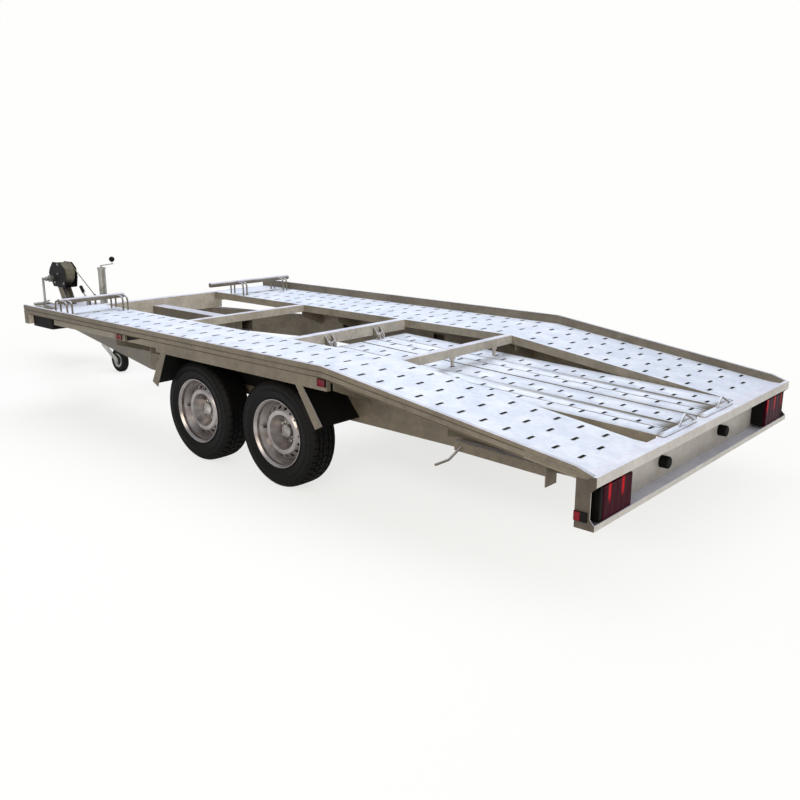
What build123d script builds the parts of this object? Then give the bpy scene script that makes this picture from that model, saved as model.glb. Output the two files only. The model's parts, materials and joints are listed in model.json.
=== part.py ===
from build123d import *
import math
import os

# Car carrier trailer: two axles, fixed perforated bed with a sloping tail.
# Stations run forward from the rear face of the tail beam. Y is left, Z is up.
# All lengths are in millimetres. The road is at Z zero.

# Overall layout
HALF_WIDTH = 1072.0
DECK_LENGTH = 4479.0
OVERALL_LENGTH = 6480.0
KINK_STATION = 1493.0
PLANK_TOP = 690.0
TAIL_LEVEL = 507.8
RAIL_TOP = 745.0
SEAT_GAP = 0.3
OVERRUN = 20.0

# Deck planks
PLANK_SHEET = 3.0
PLANK_DEPTH = 50.0
PLANK_INNER = 495.0
WEB_SETBACK = 29.0
PLANK_OUTER_WEB = HALF_WIDTH - WEB_SETBACK
REAR_WEB_DEPTH = 20.0
PLANK_RIB_SPREAD = 35.0

# Slots through the planks, across the trailer: offset and first station of each column
SLOT_LENGTH = 55.0
SLOT_WIDTH = 12.0
SLOT_PITCH = 124.0
SLOT_EDGE = 10.0
PLANK_SLOTS = [
    (562.0, 244.0),
    (716.0, 182.0),
    (870.0, 182.0),
    (1005.0, 244.0),
]

# Edge rails
RAIL_WIDTH = 20.0
RAIL_WALL = 3.0
RAIL_GROOVE = 2.0
RAIL_GROOVE_HEIGHT = 6.0
RAIL_GROOVE_LEVEL = 20.0
RAIL_TAIL_RISE = 42.0

# Beams across the bed
FRONT_BEAM_DEPTH = 60.0
FRONT_BEAM_HEIGHT = 125.0
FRONT_BEAM_END_HEIGHT = 72.0
FRONT_BEAM_DEEP_HALF = 560.0
TUBE_WALL = 4.0
MEMBER_WIDTH = 50.0
MEMBER_2 = 3363.0
MEMBER_3 = 2369.0
MEMBER_4 = KINK_STATION
MEMBER_3_WIDTH = 60.0
MEMBER_3_HEIGHT = 65.0
CENTRE_TUBE_WIDTH = 100.0
CENTRE_TUBE_HEIGHT = 80.0
CENTRE_TUBE_OFFSET = 40.0

# Tail beam section
TAIL_DEPTH = 89.0
TAIL_BOTTOM = 314.0
TAIL_SHEET = 4.0
TAIL_CREST = 534.0
TAIL_CREST_WIDTH = 20.0
TAIL_STEP = 42.0
TAIL_LIP = 42.0
TAIL_FOOT_LIP = 24.0
TAIL_NOTCH = 22.0
TAIL_NOTCH_SLOPE = 22.0

# Main chassis beams
CHASSIS_OUTER = 785.0
CHASSIS_INNER = 700.0
CHASSIS_BOTTOM = 400.0
CHASSIS_FRONT = 3400.0
CHASSIS_WALL = 4.0
CHASSIS_WINDOW = 62.0
CHASSIS_WINDOW_STATION = 3105.0
CHASSIS_SLOT_STATION = 2207.0
CHASSIS_SLOT_LENGTH = 95.0
CHASSIS_SLOT_LEVEL = 545.0
CHASSIS_SLOT_HEIGHT = 70.0
CHASSIS_HOLE_RADIUS = 9.0
CHASSIS_HOLES = [
    (3364.0, 519.0),
    (3312.0, 477.0),
]

# Drawbar
COUPLING_LENGTH = 350.0
LEG_NOSE = OVERALL_LENGTH - COUPLING_LENGTH
NOSE_HALF_WIDTH = 116.0
LEG_SLOPE = (CHASSIS_OUTER - NOSE_HALF_WIDTH) / (LEG_NOSE - CHASSIS_FRONT)
LEG_THICKNESS = 60.0
LEG_TOP = PLANK_TOP - FRONT_BEAM_HEIGHT
LEG_NOSE_TOP = 475.0
BRIDGE_STATION = 5225.0
BRIDGE_WIDTH = 70.0
BRIDGE_TOP = 512.0
BRIDGE_HEIGHT = 80.0
NOSE_PLATE = 8.0
NOSE_PLATE_LENGTH = 630.0
NOSE_PLATE_REAR = LEG_NOSE - NOSE_PLATE_LENGTH

# Road wheels
TYRE_RADIUS = 298.0
TYRE_WIDTH = 180.0
TYRE_OUTER_FACE = 990.0
AXLE_REAR = 1946.0
AXLE_FRONT = 2638.5
RIM_RADIUS = 177.8
RIM_FLANGE = 187.0
STUB_RADIUS = 20.0
STUB_FIT = 0.05
DRUM_RADIUS = 112.0
HUB_HOLES = 18

# Stowed ramps
RAMP_REAR = 60.0
RAMP_FRONT = 2318.0
RAMP_WIDTH = 420.0
LEFT_RAMP_EDGE = -50.0
RIGHT_RAMP_EDGE = -487.0
RAMP_PIN_OFFSET = 215.0
RAMP_RISE_SHARE = 0.0345
RAMP_SHEET = 3.0
RAMP_DEPTH = 45.0
RAMP_TONGUE = 45.0
TONGUE_SHEET = 5.0
TONGUE_CLIP = 80.0
TONGUE_CLIP_DEPTH = 38.0
TONGUE_NIP = 12.0
RAMP_SWING_GAP = 12.0
RAMP_PIN_RADIUS = 8.0
RAMP_PIN_STATION = 2314.0
RAMP_PIN_LEVEL = 632.0

# Slots through a ramp: offset from its middle and first station of each column
RAMP_SLOT_LENGTH = 50.0
RAMP_SLOT_PITCH = 179.0
RAMP_SLOTS = [
    (124.0, 166.0),
    (67.5, 257.0),
    (-67.5, 166.0),
    (-124.0, 257.0),
]

# Tail props
PROP_PIVOT = 830.0
PROP_LEVEL = 425.0
PROP_LENGTH = 480.0
PROP_WIDTH = 42.0
PROP_HEIGHT = 46.0
PROP_PIN_RADIUS = 10.0

# Jockey wheel
JOCKEY_STATION = 5295.0
JOCKEY_TOP = 865.0
JOCKEY_TUBE_RADIUS = 30.0
JOCKEY_TUBE_BOTTOM = 385.0
JOCKEY_SLIDE_RADIUS = 24.0
JOCKEY_SLIDE_FIT = 0.05
JOCKEY_SLIDE_TOP = 640.0
JOCKEY_FORK_TOP = 217.0
JOCKEY_WHEEL_RADIUS = 100.0
JOCKEY_WHEEL_WIDTH = 50.0
JOCKEY_TRAIL = 180.0

# Winch
WINCH_SETBACK = 180.0
WINCH_STATION = LEG_NOSE - WINCH_SETBACK
WINCH_LEVEL = 760.0
WINCH_LENGTH = 290.0
WINCH_HEIGHT = 215.0
WINCH_WIDTH = 115.0
WINCH_SHEET = 4.0


# Helpers
def bar(x0, x1, y0, y1, z0, z1):
    """A block between two stations, two offsets and two levels."""
    return Pos((x0 + x1) / 2, (y0 + y1) / 2, (z0 + z1) / 2) * Box(x1 - x0, y1 - y0, z1 - z0)


def side_plate(points, y0, y1):
    """An outline in the X Z plane, as thick as from y0 to y1."""
    face = make_face(Plane.XZ * Polyline(*points, close=True))
    return Pos(0, y0, 0) * extrude(face, amount=y1 - y0, dir=(0, 1, 0))


def cross_plate(points, x0, x1):
    """An outline in the Y Z plane, as thick as from x0 to x1."""
    face = make_face(Plane.YZ * Polyline(*points, close=True))
    return Pos(x0, 0, 0) * extrude(face, amount=x1 - x0, dir=(1, 0, 0))


def flat_plate(points, z0, z1):
    """An outline in plan, as thick as from z0 to z1."""
    face = make_face(Plane.XY * Polyline(*points, close=True))
    return Pos(0, 0, z0) * extrude(face, amount=z1 - z0, dir=(0, 0, 1))


def box_tube(x0, x1, y0, y1, z0, z1, wall, along):
    """A square tube with open ends along 'x' or 'y'."""
    outer = bar(x0, x1, y0, y1, z0, z1)
    if along == "x":
        return outer - bar(x0 - OVERRUN, x1 + OVERRUN, y0 + wall, y1 - wall, z0 + wall, z1 - wall)
    return outer - bar(x0 + wall, x1 - wall, y0 - OVERRUN, y1 + OVERRUN, z0 + wall, z1 - wall)


def cross_round(x, z, radius, y0, y1):
    """A round bar along Y."""
    return Pos(x, (y0 + y1) / 2, z) * Rot(90, 0, 0) * Cylinder(radius, y1 - y0)


def upright(x, y, radius, z0, z1):
    """A round bar along Z."""
    return Pos(x, y, (z0 + z1) / 2) * Cylinder(radius, z1 - z0)


def mirrored(shape):
    """The same piece on the other side of the trailer."""
    return mirror(shape, about=Plane.XZ)


def rod(points, radius, bend):
    """A bent round rod through the points, with arcs at its corners."""
    path = FilletPolyline(*points, radius=bend) if len(points) > 2 else Polyline(*points)
    start = Plane(origin=path @ 0, z_dir=path % 0)
    return sweep(start * Circle(radius), path=path)


def deck_level(x):
    """The plank's upper face at a station."""
    if x >= KINK_STATION:
        return PLANK_TOP
    return TAIL_LEVEL + (PLANK_TOP - TAIL_LEVEL) * x / KINK_STATION


def ramp_level(x):
    """The stowed ramp's upper face at a station."""
    return deck_level(TAIL_DEPTH) + TONGUE_SHEET + SEAT_GAP + RAMP_RISE_SHARE * (x - RAMP_REAR)


def nose_level(x):
    """The upper face of the plate on the drawbar's nose at a station."""
    slope = (LEG_TOP - LEG_NOSE_TOP) / (LEG_NOSE - DECK_LENGTH)
    return LEG_NOSE_TOP + slope * (LEG_NOSE - x) + NOSE_PLATE


FRONT_BEAM_REAR = DECK_LENGTH - FRONT_BEAM_DEPTH
PLANK_BOTTOM = PLANK_TOP - PLANK_DEPTH
TAIL_TOP = deck_level(TAIL_DEPTH)


# Deck planks
def band(x0, x1, top_drop, bottom_drop, y0, y1):
    """A strip that follows the deck's level between two stations."""
    points = [
        (x0, deck_level(x0) - bottom_drop),
        (x1, deck_level(x1) - bottom_drop),
        (x1, deck_level(x1) - top_drop),
        (x0, deck_level(x0) - top_drop),
    ]
    return side_plate(points, y0, y1)


def web_depth(x):
    """How far the plank's outer web reaches down: less on the sloping tail."""
    return PLANK_DEPTH if x >= KINK_STATION else REAR_WEB_DEPTH


def plank_slots(x0, x1):
    """The cutters for all slots that lie wholly between two stations."""
    cutters = []
    for offset, first in PLANK_SLOTS:
        station = first
        while station < x1 - SLOT_EDGE:
            if station > x0 + SLOT_EDGE:
                cutters.append(band(
                    station - SLOT_WIDTH / 2, station + SLOT_WIDTH / 2, -OVERRUN, PLANK_SHEET,
                    offset - SLOT_LENGTH / 2, offset + SLOT_LENGTH / 2,
                ))
            station += SLOT_PITCH
    return cutters


def plank(x0, x1, outer_end):
    """A folded, slotted plank: a sheet with webs turned down at both edges."""
    sheet = band(x0, x1, 0, PLANK_SHEET, PLANK_INNER, HALF_WIDTH)
    inner_web = band(x0, x1, 0, PLANK_DEPTH, PLANK_INNER, PLANK_INNER + PLANK_SHEET)
    outer_web = band(x0, outer_end, 0, web_depth(x0), PLANK_OUTER_WEB - PLANK_SHEET, PLANK_OUTER_WEB)
    folded = sheet - plank_slots(x0, x1) + inner_web + outer_web
    for edge in (CHASSIS_OUTER - PLANK_RIB_SPREAD, CHASSIS_OUTER - PLANK_SHEET):
        folded = folded + band(x0, x1, 0, PLANK_DEPTH, edge, edge + PLANK_SHEET)
    return folded


# Edge rails
def edge_rail():
    """The folded upstand along the deck's outer edge, bent at the kink."""
    crest = TAIL_CREST + RAIL_WALL
    outer = [
        (TAIL_STEP, TAIL_TOP),
        (TAIL_DEPTH, TAIL_TOP),
        (KINK_STATION, PLANK_TOP),
        (DECK_LENGTH, PLANK_TOP),
        (DECK_LENGTH, RAIL_TOP),
        (KINK_STATION, RAIL_TOP),
        (TAIL_DEPTH + RAIL_WALL, TAIL_TOP + RAIL_TAIL_RISE),
        (TAIL_CREST_WIDTH, crest),
        (TAIL_CREST_WIDTH, TAIL_CREST),
    ]
    solid = side_plate(outer, HALF_WIDTH - RAIL_WIDTH, HALF_WIDTH)
    inside = [
        (TAIL_DEPTH + RAIL_WALL, TAIL_TOP - OVERRUN),
        (KINK_STATION, PLANK_TOP - OVERRUN),
        (DECK_LENGTH - RAIL_WALL, PLANK_TOP - OVERRUN),
        (DECK_LENGTH - RAIL_WALL, RAIL_TOP - RAIL_WALL),
        (KINK_STATION, RAIL_TOP - RAIL_WALL),
        (TAIL_DEPTH + RAIL_WALL, TAIL_TOP + RAIL_TAIL_RISE - RAIL_WALL),
    ]
    hollow = side_plate(inside, HALF_WIDTH - RAIL_WIDTH + RAIL_WALL, HALF_WIDTH - RAIL_WALL)
    low = RAIL_GROOVE_LEVEL - RAIL_GROOVE_HEIGHT / 2
    high = RAIL_GROOVE_LEVEL + RAIL_GROOVE_HEIGHT / 2
    groove = [
        (TAIL_DEPTH, TAIL_TOP + low),
        (KINK_STATION, PLANK_TOP + low),
        (DECK_LENGTH + OVERRUN, PLANK_TOP + low),
        (DECK_LENGTH + OVERRUN, PLANK_TOP + high),
        (KINK_STATION, PLANK_TOP + high),
        (TAIL_DEPTH, TAIL_TOP + high),
    ]
    cut = side_plate(groove, HALF_WIDTH - RAIL_GROOVE, HALF_WIDTH + OVERRUN)
    return solid - hollow - cut


# Beams across the bed
def front_beam():
    """A closed box beam, deeper between the drawbar legs than at its ends."""
    half = FRONT_BEAM_DEEP_HALF
    shallow = PLANK_TOP - FRONT_BEAM_END_HEIGHT
    points = [
        (-HALF_WIDTH, PLANK_TOP),
        (-HALF_WIDTH, shallow),
        (-half, shallow),
        (-half, LEG_TOP),
        (half, LEG_TOP),
        (half, shallow),
        (HALF_WIDTH, shallow),
        (HALF_WIDTH, PLANK_TOP),
    ]
    w = TUBE_WALL
    inside = [
        (-HALF_WIDTH + w, PLANK_TOP - w),
        (-HALF_WIDTH + w, shallow + w),
        (-half + w, shallow + w),
        (-half + w, LEG_TOP + w),
        (half - w, LEG_TOP + w),
        (half - w, shallow + w),
        (HALF_WIDTH - w, shallow + w),
        (HALF_WIDTH - w, PLANK_TOP - w),
    ]
    return cross_plate(points, FRONT_BEAM_REAR, DECK_LENGTH) - cross_plate(
        inside, FRONT_BEAM_REAR + w, DECK_LENGTH - w
    )


def tail_beam():
    """A folded channel, open to the rear, with a crest and an upturned foot lip."""
    t = TAIL_SHEET
    points = [
        (TAIL_DEPTH, TAIL_TOP),
        (TAIL_STEP, TAIL_TOP),
        (TAIL_CREST_WIDTH, TAIL_CREST),
        (0, TAIL_CREST),
        (0, TAIL_CREST - TAIL_LIP),
        (t, TAIL_CREST - TAIL_LIP),
        (t, TAIL_CREST - t),
        (TAIL_CREST_WIDTH, TAIL_CREST - t),
        (TAIL_STEP, TAIL_TOP - t),
        (TAIL_DEPTH - t, TAIL_TOP - t),
        (TAIL_DEPTH - t, TAIL_BOTTOM + t),
        (t, TAIL_BOTTOM + t),
        (t, TAIL_BOTTOM + TAIL_FOOT_LIP),
        (0, TAIL_BOTTOM + TAIL_FOOT_LIP),
        (0, TAIL_BOTTOM),
        (TAIL_DEPTH, TAIL_BOTTOM),
    ]
    sheet = side_plate(points, -HALF_WIDTH + t, HALF_WIDTH - t)
    end = [
        (TAIL_DEPTH, TAIL_TOP),
        (TAIL_STEP, TAIL_TOP),
        (TAIL_CREST_WIDTH, TAIL_CREST),
        (0, TAIL_CREST),
        (0, TAIL_CREST - TAIL_LIP),
        (TAIL_NOTCH, TAIL_CREST - TAIL_LIP - TAIL_NOTCH_SLOPE),
        (TAIL_NOTCH, TAIL_BOTTOM + TAIL_FOOT_LIP + TAIL_NOTCH_SLOPE),
        (0, TAIL_BOTTOM + TAIL_FOOT_LIP),
        (0, TAIL_BOTTOM),
        (TAIL_DEPTH, TAIL_BOTTOM),
    ]
    plate = side_plate(end, HALF_WIDTH - t, HALF_WIDTH)
    return sheet + plate + mirrored(plate)


def member(station, width, height):
    return box_tube(
        station - width / 2, station + width / 2, -PLANK_INNER, PLANK_INNER,
        PLANK_TOP - height, PLANK_TOP, TUBE_WALL, "y",
    )


LUG_SHEET = 6.0
LUG_SPREAD = 56.0
LUG_REACH = 46.0
LUG_TOP = 684.0
LUG_BOTTOM = 616.0
LUG_TIP = 14.0


def lug_pairs():
    """Two pairs of triangular lugs, each with the pin that a ramp turns on."""
    face = MEMBER_3 - MEMBER_3_WIDTH / 2
    outline = [
        (face, LUG_TOP),
        (face, PLANK_TOP - MEMBER_3_HEIGHT),
        (face, LUG_BOTTOM),
        (face - LUG_REACH, LUG_BOTTOM),
        (face - LUG_REACH, LUG_BOTTOM + LUG_TIP),
    ]
    built = []
    for centre in (RAMP_PIN_OFFSET, -RAMP_PIN_OFFSET):
        for side in (-1, 1):
            y = centre + side * LUG_SPREAD / 2
            built.append(side_plate(outline, y - LUG_SHEET / 2, y + LUG_SHEET / 2))
        half = LUG_SPREAD / 2 + LUG_SHEET
        built.append(cross_round(
            RAMP_PIN_STATION, RAMP_PIN_LEVEL, RAMP_PIN_RADIUS, centre - half, centre + half
        ))
    return built


TAB_SHEET = 6.0
TAB_WIDTH = 22.0
TAB_HEAD = 46.0
TAB_HEAD_HEIGHT = 14.0
TAB_DROP = 50.0
TAB_OFFSETS = [80.0, -320.0]
TAB_STATION = MEMBER_4 - MEMBER_WIDTH / 2 + TUBE_WALL


def tabs():
    """Flat T-shaped tabs that hang over the ramps and hold them down."""
    top = PLANK_TOP - PLANK_DEPTH
    built = []
    for y in TAB_OFFSETS:
        built.append(cross_plate(
            [
                (y - TAB_HEAD / 2, top),
                (y - TAB_HEAD / 2, top - TAB_HEAD_HEIGHT),
                (y - TAB_WIDTH / 2, top - TAB_HEAD_HEIGHT),
                (y - TAB_WIDTH / 2, top - TAB_DROP),
                (y + TAB_WIDTH / 2, top - TAB_DROP),
                (y + TAB_WIDTH / 2, top - TAB_HEAD_HEIGHT),
                (y + TAB_HEAD / 2, top - TAB_HEAD_HEIGHT),
                (y + TAB_HEAD / 2, top),
            ],
            TAB_STATION, TAB_STATION + TAB_SHEET,
        ))
    return built


def member_3():
    beam = member(MEMBER_3, MEMBER_3_WIDTH, MEMBER_3_HEIGHT)
    for piece in lug_pairs():
        beam = beam + piece
    return beam


def member_4():
    beam = member(MEMBER_4, MEMBER_WIDTH, PLANK_DEPTH)
    for piece in tabs():
        beam = beam + piece
    return beam


def centre_tube():
    return box_tube(
        MEMBER_2 - MEMBER_WIDTH / 2, FRONT_BEAM_REAR,
        CENTRE_TUBE_OFFSET - CENTRE_TUBE_WIDTH / 2, CENTRE_TUBE_OFFSET + CENTRE_TUBE_WIDTH / 2,
        PLANK_BOTTOM - CENTRE_TUBE_HEIGHT, PLANK_BOTTOM, TUBE_WALL, "x",
    )


# Main chassis beams
def chassis_outline(inset):
    low = CHASSIS_BOTTOM + inset
    return [
        (TAIL_DEPTH, low),
        (CHASSIS_FRONT, low),
        (CHASSIS_FRONT, PLANK_BOTTOM - inset),
        (KINK_STATION, PLANK_BOTTOM - inset),
        (TAIL_DEPTH, deck_level(TAIL_DEPTH) - PLANK_DEPTH - inset),
    ]


def chassis_beam():
    solid = side_plate(chassis_outline(0), CHASSIS_INNER, CHASSIS_OUTER)
    inside = side_plate(
        chassis_outline(CHASSIS_WALL), CHASSIS_INNER + CHASSIS_WALL, CHASSIS_OUTER - CHASSIS_WALL
    )
    middle = (CHASSIS_BOTTOM + PLANK_BOTTOM) / 2
    half = CHASSIS_WINDOW / 2
    window = bar(
        CHASSIS_WINDOW_STATION - half, CHASSIS_WINDOW_STATION + half,
        CHASSIS_INNER - OVERRUN, CHASSIS_INNER + CHASSIS_WALL + OVERRUN,
        middle - half, middle + half,
    )
    slot = bar(
        CHASSIS_SLOT_STATION - CHASSIS_SLOT_LENGTH / 2, CHASSIS_SLOT_STATION + CHASSIS_SLOT_LENGTH / 2,
        CHASSIS_INNER - OVERRUN, CHASSIS_INNER + CHASSIS_WALL + OVERRUN,
        CHASSIS_SLOT_LEVEL - CHASSIS_SLOT_HEIGHT / 2, CHASSIS_SLOT_LEVEL + CHASSIS_SLOT_HEIGHT / 2,
    )
    beam = solid - inside - window - slot
    for x, z in CHASSIS_HOLES:
        beam = beam - cross_round(
            x, z, CHASSIS_HOLE_RADIUS, CHASSIS_OUTER - CHASSIS_WALL - OVERRUN, CHASSIS_OUTER + OVERRUN
        )
    pin = cross_round(
        PROP_PIVOT, PROP_LEVEL, PROP_PIN_RADIUS,
        CHASSIS_OUTER - CHASSIS_WALL, CHASSIS_OUTER + PROP_PIN_LENGTH,
    )
    return beam + pin + outriggers()


PROP_GAP = 3.0
PROP_PIN_LENGTH = PROP_GAP + PROP_WIDTH / 2
GUARD_FRONT_LOW = 2937.0
OUTRIGGER_SHEET = 5.0
OUTRIGGER_ROOT_SHARE = 0.5
OUTRIGGER_TIP = 36.0
OUTRIGGER_STATIONS = [MEMBER_4 / 2, MEMBER_4 - MEMBER_WIDTH, GUARD_FRONT_LOW + MEMBER_WIDTH, MEMBER_2]


def outriggers():
    """Gussets from the chassis beam out to both edges of the plank."""
    built = []
    for station in OUTRIGGER_STATIONS:
        top = deck_level(station - OUTRIGGER_SHEET) - PLANK_DEPTH
        root = top - (top - CHASSIS_BOTTOM) * OUTRIGGER_ROOT_SHARE
        reach = deck_level(station - OUTRIGGER_SHEET) - web_depth(station)
        outer = [
            (CHASSIS_OUTER, reach),
            (PLANK_OUTER_WEB, reach),
            (PLANK_OUTER_WEB, reach - OUTRIGGER_TIP),
            (CHASSIS_OUTER, root),
        ]
        inner = [
            (CHASSIS_INNER, top),
            (PLANK_INNER, top),
            (PLANK_INNER, top - OUTRIGGER_TIP),
            (CHASSIS_INNER, root),
        ]
        built.append(cross_plate(outer, station - OUTRIGGER_SHEET, station))
        built.append(cross_plate(inner, station - OUTRIGGER_SHEET, station))
    return built


# Axles
AXLE_TUBE = 70.0
AXLE_LEAD = 130.0
AXLE_TUBE_END = 750.0
ARM_THICKNESS = 24.0
ARM_OUTER = 796.0
ARM_ROOT_RADIUS = 42.0
ARM_TIP_RADIUS = 32.0
STUB_END = 890.0


def axle(station):
    """A rubber torsion axle: a square tube and two trailing arms with stubs."""
    x = station + AXLE_LEAD
    z = CHASSIS_BOTTOM - AXLE_TUBE / 2
    half = AXLE_TUBE / 2
    tube = bar(x - half, x + half, -ARM_OUTER + ARM_THICKNESS, ARM_OUTER - ARM_THICKNESS, z - half, z + half)
    y0 = ARM_OUTER - ARM_THICKNESS
    root = cross_round(x, z, ARM_ROOT_RADIUS, y0, ARM_OUTER)
    tip = cross_round(station, TYRE_RADIUS, ARM_TIP_RADIUS, y0, ARM_OUTER)
    length = math.hypot(AXLE_LEAD, z - TYRE_RADIUS)
    nx = -(z - TYRE_RADIUS) / length
    nz = AXLE_LEAD / length
    web = side_plate(
        [
            (station + nx * ARM_TIP_RADIUS, TYRE_RADIUS + nz * ARM_TIP_RADIUS),
            (station - nx * ARM_TIP_RADIUS, TYRE_RADIUS - nz * ARM_TIP_RADIUS),
            (x - nx * ARM_ROOT_RADIUS, z - nz * ARM_ROOT_RADIUS),
            (x + nx * ARM_ROOT_RADIUS, z + nz * ARM_ROOT_RADIUS),
        ],
        y0, ARM_OUTER,
    )
    stub = cross_round(station, TYRE_RADIUS, STUB_RADIUS, ARM_OUTER, STUB_END)
    arm = root + tip + web + stub
    clear = bar(x - ARM_ROOT_RADIUS * 2, x + ARM_ROOT_RADIUS * 2, y0, ARM_OUTER, CHASSIS_BOTTOM, PLANK_TOP)
    arm = arm - clear
    return tube + arm + mirrored(arm)


# Road wheels
SIDEWALL_BULGE = 8.0
TREAD_SHOULDER = 22.0
TYRE_BEAD_WIDTH = 140.0


def turned(points, station, level, y_shift, spin=360):
    """A profile of radius and offset along Y, turned about a wheel's axis."""
    face = make_face(Plane.XY * Polyline(*points, close=True))
    solid = revolve(face, axis=Axis.Y, revolution_arc=spin)
    return Pos(station, y_shift, level) * solid


def tyre(station):
    half = TYRE_WIDTH / 2
    bead = TYRE_BEAD_WIDTH / 2
    shoulder = TYRE_RADIUS - TREAD_SHOULDER
    points = [
        (RIM_RADIUS, -bead),
        (RIM_FLANGE + SIDEWALL_BULGE, -bead - SIDEWALL_BULGE),
        ((RIM_FLANGE + shoulder) / 2, -half),
        (shoulder, -half + SIDEWALL_BULGE),
        (TYRE_RADIUS - SIDEWALL_BULGE, -half + TREAD_SHOULDER),
        (TYRE_RADIUS, -half + TREAD_SHOULDER * 2),
        (TYRE_RADIUS, half - TREAD_SHOULDER * 2),
        (TYRE_RADIUS - SIDEWALL_BULGE, half - TREAD_SHOULDER),
        (shoulder, half - SIDEWALL_BULGE),
        ((RIM_FLANGE + shoulder) / 2, half),
        (RIM_FLANGE + SIDEWALL_BULGE, bead + SIDEWALL_BULGE),
        (RIM_RADIUS, bead),
    ]
    return turned(points, station, TYRE_RADIUS, TYRE_OUTER_FACE - half)


RIM_WALL = 4.0
RIM_WELL_DROP = 18.0
RIM_LIP = 6.0
DISC_OFFSET = 28.0
DISC_WALL = 5.0
DISC_RING = 118.0
DISC_CROWN = 96.0
DISC_BOWL = 66.0
DISC_CROWN_RISE = 16.0
DISC_BOWL_DROP = 46.0
HOLE_RADIUS = 9.5
HOLE_RING = 133.0
HUB_CAP_RADIUS = 33.0
HUB_CAP_HEIGHT = 30.0
STUB_POCKET = 8.0
BOLT_COUNT = 5
BOLT_RING = 56.0
BOLT_RADIUS = 9.0
BOLT_HEIGHT = 14.0


def rim(station):
    """A steel rim and disc with its ring of round holes, hub, drum and bolts."""
    bead = TYRE_BEAD_WIDTH / 2
    r = RIM_RADIUS
    w = RIM_WALL
    barrel = [
        (r - SEAT_GAP, -bead),
        (r - SEAT_GAP, -bead + RIM_WELL_DROP * 2),
        (r - RIM_WELL_DROP, -bead + RIM_WELL_DROP * 3),
        (r - RIM_WELL_DROP, bead - RIM_WELL_DROP * 3),
        (r - SEAT_GAP, bead - RIM_WELL_DROP),
        (r - SEAT_GAP, bead + SEAT_GAP),
        (RIM_FLANGE, bead + RIM_LIP * 2),
        (RIM_FLANGE - w, bead + RIM_LIP * 2),
        (r - SEAT_GAP - w, bead),
        (r - SEAT_GAP - w, bead - RIM_WELL_DROP),
        (r - RIM_WELL_DROP - w, bead - RIM_WELL_DROP * 3),
        (r - RIM_WELL_DROP - w, -bead + RIM_WELL_DROP * 3),
        (r - SEAT_GAP - w, -bead + RIM_WELL_DROP * 2),
        (r - SEAT_GAP - w, -bead),
    ]
    face = DISC_OFFSET
    join = r - RIM_WELL_DROP - w
    disc = [
        (0, face - DISC_BOWL_DROP),
        (DISC_BOWL, face - DISC_BOWL_DROP),
        (DISC_CROWN, face + DISC_CROWN_RISE),
        (DISC_RING, face + DISC_CROWN_RISE),
        (join, face - DISC_CROWN_RISE),
        (join, face - DISC_CROWN_RISE - DISC_WALL * 2),
        (DISC_RING, face + DISC_CROWN_RISE - DISC_WALL),
        (DISC_CROWN + DISC_WALL, face + DISC_CROWN_RISE - DISC_WALL),
        (DISC_BOWL + DISC_WALL, face - DISC_BOWL_DROP - DISC_WALL),
        (0, face - DISC_BOWL_DROP - DISC_WALL),
    ]
    middle = TYRE_OUTER_FACE - TYRE_WIDTH / 2
    wheel = turned(barrel, station, TYRE_RADIUS, middle) + turned(disc, station, TYRE_RADIUS, middle)
    for i in range(HUB_HOLES):
        angle = 2 * math.pi * i / HUB_HOLES
        x = station + HOLE_RING * math.cos(angle)
        z = TYRE_RADIUS + HOLE_RING * math.sin(angle)
        wheel = wheel - cross_round(x, z, HOLE_RADIUS, middle, middle + TYRE_WIDTH)
    hub_face = middle + DISC_OFFSET - DISC_BOWL_DROP
    drum = cross_round(station, TYRE_RADIUS, DRUM_RADIUS, ARM_OUTER + PROP_GAP * 2, hub_face - DISC_WALL)
    cap = cross_round(station, TYRE_RADIUS, HUB_CAP_RADIUS, hub_face, hub_face + HUB_CAP_HEIGHT)
    wheel = wheel + drum + cap
    for i in range(BOLT_COUNT):
        angle = math.pi * (2 * i + 1) / BOLT_COUNT
        x = station + BOLT_RING * math.cos(angle)
        z = TYRE_RADIUS + BOLT_RING * math.sin(angle)
        wheel = wheel + cross_round(x, z, BOLT_RADIUS, hub_face, hub_face + BOLT_HEIGHT)
    bore = cross_round(
        station, TYRE_RADIUS, STUB_RADIUS + STUB_FIT, ARM_OUTER - OVERRUN, STUB_END + STUB_POCKET
    )
    return wheel - bore


# Stowed ramps
RAMP_RIDGE = 3.0
RAMP_RIDGE_WIDTH = 5.0
RAMP_RIDGE_OFFSETS = [-24.0, 96.0]
EAR_SHEET = 6.0
EAR_RADIUS = 15.0
EAR_GAP = 3.0
HANDLE_RADIUS = 4.0
HANDLE_WIDTH = 165.0
HANDLE_CREST = 55.0
HANDLE_RISE = 50.0
HANDLE_BEND = 14.0
LEFT_HANDLE_FOOT = 170.0
RIGHT_HANDLE_FOOT = -262.0
HANDLE_STATION = 82.0


def ramp_band(x0, x1, top_drop, bottom_drop, y0, y1):
    points = [
        (x0, ramp_level(x0) - bottom_drop),
        (x1, ramp_level(x1) - bottom_drop),
        (x1, ramp_level(x1) - top_drop),
        (x0, ramp_level(x0) - top_drop),
    ]
    return side_plate(points, y0, y1)


def ramp_slots(centre):
    """The cutters for the slots through a ramp's sheet."""
    cutters = []
    for offset, first in RAMP_SLOTS:
        y = centre + offset
        station = first
        while station < RAMP_FRONT - RAMP_SLOT_PITCH / 2:
            cutters.append(ramp_band(
                station - SLOT_WIDTH / 2, station + SLOT_WIDTH / 2, -OVERRUN, RAMP_SHEET,
                y - RAMP_SLOT_LENGTH / 2, y + RAMP_SLOT_LENGTH / 2,
            ))
            station += RAMP_SLOT_PITCH
    return cutters


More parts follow.
